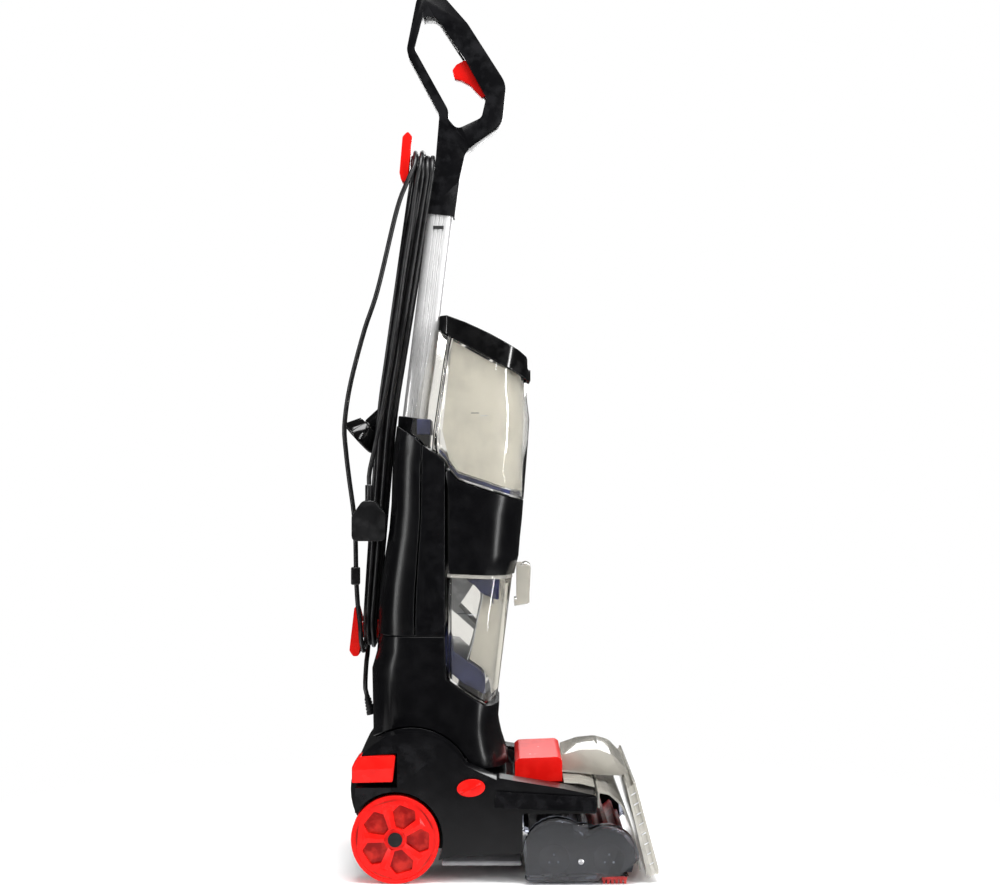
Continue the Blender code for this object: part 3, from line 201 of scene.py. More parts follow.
def noise(tree, vector, scale, detail=2.0, roughness=0.5):
    node = tree.nodes.new("ShaderNodeTexNoise")
    node.inputs["Detail"].default_value = detail
    node.inputs["Roughness"].default_value = roughness
    tree.links.new(vector, node.inputs["Vector"])
    if isinstance(scale, (int, float)):
        node.inputs["Scale"].default_value = scale
    else:
        tree.links.new(scale, node.inputs["Scale"])
    return node.outputs["Fac"]


def spread(tree, value, low, high, to_low=0.0, to_high=1.0):
    """Map a value from one range to another, clamped."""
    node = tree.nodes.new("ShaderNodeMapRange")
    for socket, number in (("From Min", low), ("From Max", high), ("To Min", to_low), ("To Max", to_high)):
        if isinstance(number, (int, float)):
            node.inputs[socket].default_value = number
        else:
            tree.links.new(number, node.inputs[socket])
    tree.links.new(value, node.inputs["Value"])
    return node.outputs["Result"]


def make_grain():
    """Fine moulded grain as a height, and hand smudges as a mask."""
    group, inside, outside = effect_group(
        "moulded_grain", [("Vector", "NodeSocketVector", None), ("Grain Scale", "NodeSocketFloat", 900.0)],
        [("Height", "NodeSocketFloat"), ("Smudges", "NodeSocketFloat")])
    fine = noise(group, inside.outputs["Vector"], inside.outputs["Grain Scale"], 1.0)
    cloud = noise(group, inside.outputs["Vector"], 14.0, 5.0, 0.62)
    streak = noise(group, inside.outputs["Vector"], 55.0, 3.0, 0.6)
    mixed = group.nodes.new("ShaderNodeMath")
    mixed.operation = "MULTIPLY"
    group.links.new(spread(group, cloud, 0.38, 0.66), mixed.inputs[0])
    group.links.new(spread(group, streak, 0.35, 0.62), mixed.inputs[1])
    group.links.new(fine, outside.inputs["Height"])
    group.links.new(mixed.outputs[0], outside.inputs["Smudges"])
    return group


def make_edge_wear():
    """Mask of edges for painted highlight and wear, broken up by noise."""
    group, inside, outside = effect_group("worn_and_lit_edges", [("Vector", "NodeSocketVector", None)],
                                          [("Mask", "NodeSocketFloat")])
    geometry = group.nodes.new("ShaderNodeNewGeometry")
    edges = spread(group, geometry.outputs["Pointiness"], 0.53, 0.60)
    patches = spread(group, noise(group, inside.outputs["Vector"], 70.0, 4.0), 0.45, 0.62)
    mixed = group.nodes.new("ShaderNodeMath")
    mixed.operation = "MULTIPLY"
    group.links.new(edges, mixed.inputs[0])
    group.links.new(patches, mixed.inputs[1])
    group.links.new(mixed.outputs[0], outside.inputs["Mask"])
    return group


GRAIN = make_grain()
WORN_AND_LIT_EDGES = make_edge_wear()


def place_group(tree, group, vector, **values):
    node = tree.nodes.new("ShaderNodeGroup")
    node.node_tree = group
    tree.links.new(vector, node.inputs["Vector"])
    for name, value in values.items():
        node.inputs[name.replace("_", " ").title()].default_value = value
    return node


def start_material(name, roughness, metallic=0.0):
    mat = bpy.data.materials.new(name)
    mat.use_nodes = True
    tree = mat.node_tree
    shader = tree.nodes["Principled BSDF"]
    shader.inputs["Roughness"].default_value = roughness
    shader.inputs["Metallic"].default_value = metallic
    vector = tree.nodes.new("ShaderNodeTexCoord").outputs["Object"]
    return mat, tree, shader, vector


def colour_mix(tree, mask, first, second):
    node = tree.nodes.new("ShaderNodeMix")
    node.data_type = "RGBA"
    tree.links.new(mask, node.inputs["Factor"])
    for socket, colour in (("A", first), ("B", second)):
        place = [s for s in node.inputs if s.name == socket and s.type == "RGBA"][0]
        if isinstance(colour, tuple):
            place.default_value = (*colour, 1.0)
        else:
            tree.links.new(colour, place)
    return [s for s in node.outputs if s.type == "RGBA"][0]


def raise_surface(tree, shader, height, distance, strength=1.0):
    bump = tree.nodes.new("ShaderNodeBump")
    bump.inputs["Strength"].default_value = strength
    bump.inputs["Distance"].default_value = distance
    tree.links.new(height, bump.inputs["Height"])
    tree.links.new(bump.outputs["Normal"], shader.inputs["Normal"])


def moulded(name, colour, roughness, grain=0.00002, smudge=0.10, edge_highlight_and_wear=None, grain_scale=900.0,
             shine=0.5):
    """Opaque moulded plastic or rubber with grain, smudges, and paler edges that are painted highlight and
    wear.
    """
    mat, tree, shader, vector = start_material(name, roughness)
    shader.inputs["Specular IOR Level"].default_value = shine
    surface = place_group(tree, GRAIN, vector, grain_scale=grain_scale)
    worn_and_lit = place_group(tree, WORN_AND_LIT_EDGES, vector)
    tone = tuple(min(1.0, c * 1.25 + 0.002) for c in colour)
    blend = colour_mix(tree, surface.outputs["Smudges"], colour, tone)
    # Paler edge colour: painted highlight on the edges, together with wear.
    edge = edge_highlight_and_wear or tuple(min(1.0, c * 1.6 + 0.02) for c in colour)
    tree.links.new(colour_mix(tree, worn_and_lit.outputs["Mask"], blend, edge), shader.inputs["Base Color"])
    rougher = min(1.0, roughness + smudge)
    tree.links.new(spread(tree, surface.outputs["Smudges"], 0.0, 1.0, roughness, rougher),
                   shader.inputs["Roughness"])
    raise_surface(tree, shader, surface.outputs["Height"], grain)
    return mat


def see_through(name, colour, roughness, transmission=1.0, cloud=0.08):
    """Clear or smoked plastic with faint smudges and flow marks."""
    mat, tree, shader, vector = start_material(name, roughness)
    shader.inputs["IOR"].default_value = 1.49
    shader.inputs["Transmission Weight"].default_value = transmission
    surface = place_group(tree, GRAIN, vector, grain_scale=60.0)
    paler = tuple(c * (1 - cloud) for c in colour)
    tree.links.new(colour_mix(tree, surface.outputs["Smudges"], colour, paler),
                   shader.inputs["Base Color"])
    tree.links.new(spread(tree, surface.outputs["Smudges"], 0.0, 1.0, roughness, roughness + 0.06),
                   shader.inputs["Roughness"])
    raise_surface(tree, shader, surface.outputs["Height"], 0.00001, 0.5)
    return mat


def drawn_metal(name, colour, roughness, along, scale=1200.0, metallic=1.0):
    """Brushed metal with fine lines running along one axis."""
    mat, tree, shader, vector = start_material(name, roughness, metallic)
    squeeze = tree.nodes.new("ShaderNodeMapping")
    squeeze.inputs["Scale"].default_value = [0.01 if axis == along else 1.0 for axis in "XYZ"]
    tree.links.new(vector, squeeze.inputs["Vector"])
    lines = noise(tree, squeeze.outputs["Vector"], scale, 3.0)
    cloud = noise(tree, vector, 18.0, 4.0)
    darker = tuple(c * 0.82 for c in colour)
    tree.links.new(colour_mix(tree, spread(tree, cloud, 0.3, 0.7), colour, darker),
                   shader.inputs["Base Color"])
    tree.links.new(spread(tree, lines, 0.3, 0.7, roughness * 0.8, roughness * 1.3),
                   shader.inputs["Roughness"])
    raise_surface(tree, shader, lines, 0.00003)
    return mat


FINISH = {
    "black": moulded("satin_black_moulding", (0.0022, 0.0022, 0.0027), 0.24, 0.000002, 0.035,
                     (0.008, 0.008, 0.009), shine=0.20),
    "gloss_black": moulded("polished_black", (0.002, 0.002, 0.0022), 0.10, 0.0, 0.06, shine=0.4),
    "inner_black": moulded("unpolished_black", (0.004, 0.004, 0.0045), 0.5, 0.00004, 0.10, shine=0.25),
    "red": moulded("bright_red_moulding", (0.62, 0.006, 0.004), 0.24, 0.000004, 0.05,
                   (0.70, 0.012, 0.008), shine=0.16),
    # Darker red: painted shade for the wheel pockets and the rim slots.
    "red_painted_shade": moulded("red_painted_pocket_shade", (0.26, 0.003, 0.002), 0.22, 0.000004, 0.05,
                         (0.50, 0.02, 0.012), shine=0.16),
    "red_bristle": moulded("red_nylon_tufts", (0.36, 0.010, 0.008), 0.5, 0.0001, 0.1, None, 2500.0),
    "navy": moulded("navy_gasket", (0.007, 0.011, 0.060), 0.42, 0.00002, 0.10),
    "grey": moulded("light_grey_moulding", (0.42, 0.43, 0.45), 0.42, 0.00002, 0.10),
    "rubber": moulded("cord_rubber", (0.004, 0.004, 0.0045), 0.34, 0.00002, 0.12, None, 500.0,
                      shine=0.4),
    "belt": moulded("ribbed_belt", (0.014, 0.014, 0.014), 0.65, 0.0001, 0.1, None, 400.0),
    "bristle": moulded("dark_nylon_tufts", (0.030, 0.028, 0.030), 0.6, 0.0006, 0.2, None, 380.0),
    # White: painted highlight along the edges of the clean tank's lip.
    "white": moulded("painted_highlight_white", (0.80, 0.80, 0.80), 0.5),
    "clear": see_through("clear_tank_plastic", (0.955, 0.945, 0.915), 0.03),
    "beige": see_through("milky_tank_lining", (0.80, 0.77, 0.68), 0.34, 0.25),
    "tint": see_through("grey_tinted_plastic", (0.70, 0.68, 0.62), 0.10, 0.66),
    "slate": moulded("slate_backing", (0.008, 0.009, 0.013), 0.30, 0.00001, 0.12,
                     (0.03, 0.032, 0.04), shine=0.16),
    "smoke": see_through("smoked_plastic", (0.34, 0.36, 0.43), 0.04),
    "pan": see_through("pale_smoked_plastic", (0.40, 0.40, 0.42), 0.14, 0.7),
    "aluminium": drawn_metal("anodised_tube", (0.84, 0.84, 0.84), 0.30, "Z", metallic=0.5),
    "steel": drawn_metal("turned_steel", (0.52, 0.52, 0.54), 0.28, "Y"),
    "brass": drawn_metal("plated_pins", (0.78, 0.66, 0.40), 0.22, "Y"),
}


# ---- making pieces ----
def piece(name, mesh, finish, body, smooth=35, edge=0.0, stands_for=()):
    """A bmesh made an object that rides on a body and takes a finish."""
    data = bpy.data.meshes.new(name)
    mesh.to_mesh(data)
    mesh.free()
    data.materials.append(FINISH[finish])
    if smooth:
        data.shade_smooth()
        data.set_sharp_from_angle(angle=math.radians(smooth))
    obj = bpy.data.objects.new(name, data)
    bpy.context.scene.collection.objects.link(obj)
    if edge:
        bevel = obj.modifiers.new("edges", "BEVEL")
        bevel.width = edge
        bevel.segments = 2
        bevel.angle_limit = math.radians(32)
        bevel.harden_normals = True
    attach(obj, body)
    if stands_for:
        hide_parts(*stands_for)
    return obj


def body_with(node):
    return frame["nodes"][node]["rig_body"]


def finer(node, finish, edge=0.0006, smooth=32):
    """The CAD node's own shape with its corners eased and its curves shaded smoothly."""
    mesh = bmesh.new()
    mesh.from_mesh(frame["nodes"][node].data)
    bmesh.ops.remove_doubles(mesh, verts=mesh.verts, dist=0.00001)
    bmesh.ops.dissolve_limit(mesh, angle_limit=math.radians(0.6), verts=mesh.verts, edges=mesh.edges)
    bmesh.ops.recalc_face_normals(mesh, faces=mesh.faces)
    if mesh.calc_volume(signed=True) < 0:
        bmesh.ops.reverse_faces(mesh, faces=mesh.faces)
    return piece(node + "_finish", mesh, finish, body_with(node), smooth, edge, (node,))


def prism(outline, y_low, y_high):
    """Flat outline in the XZ plane, given depth in y."""
    mesh = bmesh.new()
    face = mesh.faces.new([mesh.verts.new((x, y_low, z)) for x, z in outline])
    grown = bmesh.ops.extrude_face_region(mesh, geom=[face], use_keep_orig=True)
    moved = [item for item in grown["geom"] if isinstance(item, bmesh.types.BMVert)]
    bmesh.ops.translate(mesh, verts=moved, vec=(0, y_high - y_low, 0))
    bmesh.ops.recalc_face_normals(mesh, faces=mesh.faces)
    return mesh


def block(low, high, turn=None, about=None):
    """Box between two corners, turned about a point if asked."""
    low, high = Vector(low), Vector(high)
    mesh = bmesh.new()
    bmesh.ops.create_cube(mesh, size=1.0, matrix=Matrix.Translation((low + high) / 2)
                          @ Matrix.Diagonal((*(high - low), 1.0)))
    if turn:
        bmesh.ops.rotate(mesh, verts=mesh.verts, cent=about or (low + high) / 2,
                         matrix=Matrix.Rotation(turn, 3, "Y"))
    return mesh


def spun(profile, centre, axis, steps=48):
    """Profile of (radius, height) spun about an axis through centre."""
    mesh = bmesh.new()
    points = [mesh.verts.new((radius, 0, height)) for radius, height in profile]
    edges = [mesh.edges.new(pair) for pair in zip(points, points[1:])]
    bmesh.ops.spin(mesh, geom=points + edges, cent=(0, 0, 0), axis=(0, 0, 1), angle=2 * math.pi,
                   steps=steps, use_merge=True)
    bmesh.ops.remove_doubles(mesh, verts=mesh.verts, dist=0.00001)
    bmesh.ops.recalc_face_normals(mesh, faces=mesh.faces)
    turn = Vector((0, 0, 1)).rotation_difference(Vector(axis)).to_matrix().to_4x4()
    bmesh.ops.transform(mesh, matrix=Matrix.Translation(centre) @ turn, verts=mesh.verts)
    return mesh


def facets(points):
    """Convex solid over some points."""
    mesh = bmesh.new()
    for point in points:
        mesh.verts.new(point)
    bmesh.ops.convex_hull(mesh, input=mesh.verts)
    bmesh.ops.dissolve_limit(mesh, angle_limit=math.radians(1.0), verts=mesh.verts, edges=mesh.edges)
    bmesh.ops.recalc_face_normals(mesh, faces=mesh.faces)
    return mesh


def strip_along(line, low, high, half):
    """Strip that follows a line of (x, z), between two heights over it."""
    outline = [(x, z + low) for x, z in line] + [(x, z + high) for x, z in reversed(line)]
    return prism(outline, -half, half)


# ---- the CAD nodes' finishes ----
for node in ("lower_body", "rear_shell", "tank_bay_liner", "motor_pod"):
    finer(node, "black", 0.0010, 50)
for node in ("handle_shell_left", "handle_shell_right"):
    finer(node, "black", 0.0008, 55)
for node in ("side_housing_right", "side_housing_left"):
    finer(node, "black", 0.0022, 40)
for node in ("pivot_drum", "tube_socket", "deck_cover", "spray_bar", "upper_hook_arm"):
    finer(node, "black", 0.0005)
for node in ("side_frame_right", "side_frame_left", "bearing_plate_right", "bearing_plate_left"):
    finer(node, "inner_black", 0.0004)
for node in ("hose_port_cap", "clean_tank_lid"):
    finer(node, "gloss_black", 0.0020, 60)
for node in ("edge_brush_right", "edge_brush_left"):
    finer(node, "red_bristle", 0.0)
finer("power_pedal", "black", 0.0014, 50)
for node in ("recline_pedal", "selector_knob", "nozzle_latch", "trigger", "upper_cord_hook",
             "lower_cord_hook"):
    finer(node, "red", 0.0014, 50)
for node in ("rear_wheel_right", "rear_wheel_left"):
    finer(node, "red", 0.0009)
for node in ("nozzle_back_plate", "nozzle_front_plate"):
    finer(node, "tint", 0.0004)
finer("nozzle_duct", "tint", 0.0004, 50)
finer("hood_window", "tint", 0.0004, 50)
for node in ("clean_tank", "dirty_tank"):
    finer(node, "clear", 0.0006, 50)
for node in ("dirty_tank_handle", "dirty_tank_lid"):
    finer(node, "tint", 0.0006, 50)
for node in ("brush_cover_right", "brush_cover_left"):
    finer(node, "smoke", 0.0010, 50)
finer("base_pan", "pan", 0.0006)
for node in ("stub_axle_right", "stub_axle_left"):
    finer(node, "inner_black", 0.0006)
for node in ("brush_motor", "motor_pulley", "suction_motor"):
    finer(node, "steel", 0.0003)
finer("shut_off_float", "navy", 0.0008)
for node in ("clean_tank_valve", "separator", "impeller"):
    finer(node, "grey", 0.0005)
finer("drive_belt", "belt", 0.0)
finer("brush_roll_rear", "bristle", 0.0)
finer("brush_roll_front", "red_bristle", 0.0)

# ---- fluted tube ----
tube_along = (TUBE_TOP - TUBE_FOOT).normalized()
tube_across = Vector((tube_along.z, 0, -tube_along.x))
TUBE_HALF_WIDTH = 0.0200
TUBE_CORNER = 0.0080
GROOVE_FLOOR = 0.0188
half_section = []
for start, centre in ((0, (0.0085, 0.0120)), (90, (-0.0085, 0.0120))):
    half_section += [(centre[0] + TUBE_CORNER * math.cos(math.radians(start + turn)),
                      centre[1] + TUBE_CORNER * math.sin(math.radians(start + turn)))
                     for turn in range(0, 91, 15)]
    if start == 0:
        for groove in (0.0055, 0.0, -0.0055):
            half_section += [(groove + 0.0014, TUBE_HALF_WIDTH), (groove + 0.0007, GROOVE_FLOOR),
                             (groove - 0.0007, GROOVE_FLOOR), (groove - 0.0014, TUBE_HALF_WIDTH)]
tube_section = half_section + [(-across, -side) for across, side in half_section]
tube_mesh = bmesh.new()
tube_face = tube_mesh.faces.new([
    tube_mesh.verts.new(TUBE_FOOT + tube_across * across + Vector((0, side, 0)))
    for across, side in tube_section])
tube_grown = bmesh.ops.extrude_face_region(tube_mesh, geom=[tube_face], use_keep_orig=True)
tube_far_end = [item for item in tube_grown["geom"] if isinstance(item, bmesh.types.BMVert)]
bmesh.ops.translate(tube_mesh, verts=tube_far_end, vec=TUBE_TOP - TUBE_FOOT)
bmesh.ops.recalc_face_normals(tube_mesh, faces=tube_mesh.faces)
piece("fluted_tube", tube_mesh, "aluminium", "upright", 25, 0.0, ("handle_tube",))
slot_at = TUBE_FOOT + tube_along * 0.2920
tube_slot = block(slot_at + Vector((-0.0065, -0.0204, -0.0021)), slot_at + Vector((0.0065, -0.0180, 0.0021)))
piece("tube_slot", tube_slot, "inner_black", "upright")


# ---- inside the clean tank ----
seal_line = [(-0.1065, 0.5510)] + SEAT[2:-1] + [(0.0285, 0.4700)]
# Navy seal strip between two thin white strips: the white strips are painted highlights on the lip's edges.
for name, finish, low, high, half in (("seal_strip", "navy", 0.0045, 0.0090, 0.0930),
                                      ("seal_highlight_low", "white", 0.0032, 0.0038, 0.0935),
                                      ("seal_highlight_high", "white", 0.0096, 0.0102, 0.0935)):
    inside = [(x, z) for x, z in seal_line if -0.083 < x < 0.013]
    piece(name, strip_along(inside, low, high, half), finish, "clean_water_tank", 0)
piece("filler_block", block((-0.1060, -0.0600, 0.5530), (-0.0880, 0.0600, 0.5730)), "navy",
      "clean_water_tank", edge=0.0010)
LINING_REAR = [(0.480, -0.0600), (0.5230, -0.0640), (0.5400, -0.0745), (0.658, -0.0610), (0.700, -0.0560)]
LINING_FRONT = [(0.460, 0.0235), (0.558, 0.0305), (0.582, 0.0315), (0.640, 0.0265)]
LINING_PLAN = [(0.0, 0.0950), (0.60, 0.0930), (0.76, 0.0860), (0.88, 0.0740), (1.0, 0.0400)]
rings = []
for depth in (0.0, 0.1, 0.2, 0.35, 0.6, 0.76, 0.88, 0.95, 1.0):
    half = between(LINING_PLAN, depth)
    column = []
    for level in range(7):
        height = 0.5
        for _ in range(6):
            x = between(LINING_REAR, height) * (1 - depth) + between(LINING_FRONT, height) * depth
            low_z, high_z = between(SEAT, x) + 0.0115, between([(-0.09, 0.6875), (0.045, 0.6135)], x)
            height = low_z + (high_z - low_z) * level / 6
        column.append((x, height))
    rings.append((half, column))
lining = bmesh.new()
grid = [[[lining.verts.new((x, side * half, z)) for side in (-1, 1)] for x, z in column]
        for half, column in rings]
for row, following in zip(grid, grid[1:]):
    for k in range(6):
        for side in (0, 1):
            lining.faces.new((row[k][side], following[k][side],
                              following[k + 1][side], row[k + 1][side]))
    for k in (0, 6):
        lining.faces.new((row[k][0], following[k][0], following[k][1], row[k][1]))
for row in (grid[0], grid[-1]):
    for k in range(6):
        lining.faces.new((row[k][0], row[k][1], row[k + 1][1], row[k + 1][0]))
bmesh.ops.recalc_face_normals(lining, faces=lining.faces)
piece("milky_lining", lining, "beige", "clean_water_tank", 60)
CATCH_SIZE = 0.0040
for name, x, z in (("rear_catch", -0.0560, 0.6650), ("front_catch", 0.0290, 0.6220)):
    piece(name, block((x - CATCH_SIZE, -0.0300, z - CATCH_SIZE), (x + CATCH_SIZE, 0.0300, z + CATCH_SIZE)),
          "red", "clean_water_tank", edge=0.0010)
MARK_Y = -0.1062
for name, low_x, high_x, z, finish, body in (
        ("clean_mark_black", -0.0363, -0.0263, 0.5799, "slate", "clean_water_tank"),
        ("clean_mark_grey", -0.0250, -0.0156, 0.5764, "grey", "clean_water_tank"),
        ("dirty_mark_black", -0.0532, -0.0425, 0.3286, "slate", "dirty_water_tank"),
        ("dirty_mark_grey", -0.0407, -0.0288, 0.3272, "grey", "dirty_water_tank")):
    piece(name, block((low_x, MARK_Y, z - 0.0004), (high_x, MARK_Y + 0.0006, z + 0.0004)), finish, body)

# ---- inside the dirty tank ----
basket = [(-0.0423, 0.3700), (-0.0016, 0.3700), (-0.0025, 0.3446), (-0.0094, 0.3458), (-0.0238, 0.3533),
          (-0.0313, 0.3620)]
piece("filter_basket", prism(basket, -0.0880, 0.0880), "navy", "dirty_water_tank", 0, 0.0008)
piece("basket_tip", prism([(-0.0102, 0.3465), (-0.0086, 0.3465), (-0.0090, 0.3396), (-0.0098, 0.3396)],
                          -0.0870, 0.0870), "navy", "dirty_water_tank")
baffle = [(-0.0673, 0.3098), (-0.0641, 0.3020), (-0.0579, 0.2801), (-0.0375, 0.2645), (-0.0236, 0.2551),
          (-0.0190, 0.2457), (-0.0200, 0.2260), (-0.0460, 0.2390), (-0.0655, 0.2560), (-0.0710, 0.2700),
          (-0.0715, 0.2864)]
piece("low_baffle", prism(baffle, -0.0900, 0.0900), "navy", "dirty_water_tank", 0, 0.0010)
wall = [(-0.0219, 0.3521), (-0.0282, 0.3239), (-0.0344, 0.2927), (-0.0415, 0.2690)]
piece("inner_wall", prism(wall + [(x + 0.0012, z) for x, z in reversed(wall)], -0.0895, 0.0895), "grey",
      "dirty_water_tank")
front_room = [(-0.0204, 0.3510), (-0.0100, 0.3560), (-0.0012, 0.3640), (0.0085, 0.3640), (0.0045, 0.3000),
              (-0.0035, 0.2300), (-0.0140, 0.2250), (-0.0165, 0.2480), (-0.0230, 0.2570), (-0.0390, 0.2680),
              (-0.0330, 0.2927), (-0.0268, 0.3239)]
piece("front_room_lining", prism(front_room, -0.0700, 0.0700), "beige", "dirty_water_tank", 0)

for side_name, side in (("right", -1), ("left", 1)):
    y_low, y_high = sorted((side * 0.0385, side * 0.0398))
    piece("handle_cheek_" + side_name, block((0.0215, y_low, 0.3370), (0.0380, y_high, 0.3850)), "tint",
          "dirty_water_tank", edge=0.0005)

# ---- rear wheels ----
WELL_Y = 0.1405
WEB_FACE_Y = 0.1470
SLOT_ARC = 34
SLOT_STEPS = 8
for side_name, side in (("right", -1), ("left", 1)):
    x, z = WHEEL_AXIS
    wheel_body = "wheel_" + side_name
    # Disc behind the spoke pockets: it backs them, and its darker red is painted shade inside the pockets.
    well = [(0.0100, -0.0002), (0.0500, -0.0002), (0.0500, 0.0002), (0.0100, 0.0002), (0.0100, -0.0002)]
    piece("wheel_well_shade_" + side_name, spun(well, Vector((x, side * WELL_Y, z)), (0, side, 0)), "red_painted_shade",
          wheel_body)
    for spoke in range(5):
        angle = math.radians(33 + 72 * spoke)
        out = Vector((math.cos(angle), 0, math.sin(angle)))
        across = Vector((-out.z, 0, out.x))
        centre = Vector((x, side * WEB_FACE_Y, z))
        raised = Vector((0, side * 0.0022, 0))
        ridge = [centre + out * 0.0125 + across * w for w in (-0.0045, 0.0045)]
        ridge += [centre + out * 0.0400 + across * w for w in (-0.0065, 0.0065)]
        ridge += [centre + out * r + raised for r in (0.0135, 0.0370)]
        piece("spoke_ridge_" + side_name + str(spoke), facets(ridge), "red", wheel_body, 10)
        # Thin dark red arcs near the rim: painted shade standing in for the slots there.
        inner_edge, outer_edge = [], []
        for step in range(SLOT_STEPS + 1):
            turn = angle + math.radians(-SLOT_ARC / 2 + step * SLOT_ARC / SLOT_STEPS)
            inner = 0.0480 - (0.0014 * math.sin(math.pi * step / SLOT_STEPS) + 0.0003)
            inner_edge.append((x + inner * math.cos(turn), z + inner * math.sin(turn)))
            outer_edge.append((x + 0.0482 * math.cos(turn), z + 0.0482 * math.sin(turn)))
        y_low, y_high = sorted((side * 0.1472, side * 0.1466))
        piece("rim_slot_shade_" + side_name + str(spoke), prism(inner_edge + outer_edge[::-1], y_low, y_high),
              "red_painted_shade", wheel_body, 0)

# ---- side housings, covers, pedal, knob ----
for side_name, side in (("right", -1), ("left", 1)):
    band = [(-0.0049, 0.1146, 0.1552), (0.1180, 0.1072, 0.1552), (0.1180, 0.0905, 0.1585),
            (-0.0074, 0.0955, 0.1585), (-0.0049, 0.1146, 0.1540), (0.1180, 0.1072, 0.1540),
            (0.1180, 0.0895, 0.1540), (-0.0074, 0.0945, 0.1540)]
    piece("side_facet_" + side_name, facets([(x, side * y, z) for x, z, y in band]), "black", "base", 10,
          0.0006)
    backing = prism([(0.0330, 0.0110), (0.0330, 0.0420), (0.0400, 0.0610), (0.0560, 0.0745), (0.0780, 0.0760),
                     (0.0960, 0.0660), (0.1040, 0.0560), (0.1120, 0.0620), (0.1300, 0.0690), (0.1500, 0.0620),
                     (0.1640, 0.0450), (0.1660, 0.0300), (0.1620, 0.0150)],
                    min(side * 0.1482, side * 0.1500), max(side * 0.1482, side * 0.1500))
    piece("cover_backing_" + side_name, backing, "slate", "base", 0, 0.0006)
    for number, boss_x in enumerate((0.0660, 0.1340)):
        boss = spun([(0.0, 0.0), (0.0190, 0.0), (0.0190, 0.0010), (0.0170, 0.0020), (0.0, 0.0020)],
                    Vector((boss_x, side * 0.1500, 0.0310)), (0, side, 0))
        piece("cover_boss_" + side_name + str(number), boss, "slate", "base")
        for hole in range(3):
            turn = math.radians(90 + 120 * hole)
            mark = spun([(0.0, 0.0), (0.0014, 0.0), (0.0014, 0.0006), (0.0, 0.0006)],
                        Vector((boss_x + 0.0062 * math.cos(turn), side * 0.1519,
                                0.0310 + 0.0062 * math.sin(turn))), (0, side, 0), 16)
            piece("cover_hole_" + side_name + str(number) + str(hole), mark, "grey", "base")
    screw = spun([(0.0, 0.0), (0.0034, 0.0), (0.0034, 0.0010), (0.0024, 0.0016), (0.0, 0.0010)],
                 Vector((0.0994, side * 0.1545, 0.0290)), (0, side, 0), 24)
    piece("cover_screw_" + side_name, screw, "steel", "base")
    y_low, y_high = sorted((side * 0.1390, side * 0.1530))
    bridge = block((0.0900, y_low, 0.0600), (0.1080, y_high, 0.0745))
    piece("cover_bridge_" + side_name, bridge, "clear", "base", edge=0.0012)
pedal = [(-0.1735, -0.1524, 0.1560), (-0.1295, -0.1524, 0.1575), (-0.1805, -0.1560, 0.1415),
         (-0.1305, -0.1560, 0.1440), (-0.1810, -0.1524, 0.1262), (-0.1322, -0.1524, 0.1272),
         (-0.1812, -0.1524, 0.1440)]
piece("pedal_facets", facets(pedal), "red", "foot_pedal", 10, 0.0006)

ridge = [(-0.0500, -0.15600, 0.1150), (-0.0490, -0.15600, 0.1110), (-0.0230, -0.15600, 0.1230),
         (-0.0245, -0.15600, 0.1265), (-0.0440, -0.15930, 0.1150), (-0.0290, -0.15930, 0.1225)]
piece("knob_ridge", facets([(x, y + 0.0011, z) for x, y, z in ridge]), "red", "knob", 20, 0.0006)

# ---- ribbed hood over the deck ----
hood_line = [(0.0800, 0.1185), (0.1000, 0.1175), (0.1185, 0.1130)]
hood_sheet = prism([(x, z) for x, z in hood_line] + [(x, z - 0.0016) for x, z in reversed(hood_line)],
                   -0.1080, 0.1080)
piece("deck_hood", hood_sheet, "tint", "nozzle", 20, 0.0005)
for number in range(14):
    y = -0.1040 + number * 0.016
    for (x_from, z_from), (x_to, z_to) in zip(hood_line, hood_line[1:]):
        rib = [(x, y + w, z + h) for x, z in ((x_from, z_from), (x_to, z_to)) for w in (-0.0006, 0.0006)
               for h in (-0.0004, 0.0016)]
        half_name = "b" if x_to > 0.11 else "a"
        piece("hood_rib_" + str(number) + half_name, facets(rib), "tint", "nozzle", 0)
for side_name, side in (("right", -1), ("left", 1)):
    cheek = [(0.1590, 0.1180), (0.1660, 0.1230), (0.1945, 0.0180), (0.1935, 0.0125), (0.1862, 0.0090)]
    y_low, y_high = sorted((side * 0.1436, side * 0.1444))
    piece("nozzle_cheek_" + side_name, prism(cheek, y_low, y_high), "tint", "nozzle", 0)

# ---- nozzle ribs ----
for side_name, side in (("right", -1), ("left", 1)):
    for rib in range(8):
        t = (rib + 0.7) / 8.4
        start = Vector((0.1592, side * 0.1450, 0.1170)).lerp(Vector((0.1866, side * 0.1450, 0.0150)), t)
        end = Vector((0.1648, side * 0.1450, 0.1205)).lerp(Vector((0.1935, side * 0.1450, 0.0185)), t)
        ends = [at + Vector((0, y, z)) for at in (start, end) for y in (-0.0008, 0.0008)
                for z in (-0.0006, 0.0006)]
        piece("nozzle_rib_" + side_name + str(rib), facets(ends), "grey", "nozzle", 0)

# ---- cord, relief, clip and plug ----
cord_curve = bpy.data.curves.new("mains_cord", "CURVE")
cord_curve.dimensions = "3D"
cord_curve.bevel_depth = CORD / 2
cord_curve.bevel_resolution = 3
cord_curve.use_fill_caps = True
spline = cord_curve.splines.new("POLY")
spline.points.add(len(cord_points) - 1)
for point, at in zip(spline.points, cord_points):
    point.co = (*at, 1)
cord_curve.materials.append(FINISH["rubber"])
cord = bpy.data.objects.new("mains_cord", cord_curve)
bpy.context.scene.collection.objects.link(cord)
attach(cord, "upright")
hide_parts("cord_hank", "cord_tail", "cord_loose_run", "cord_free_end")

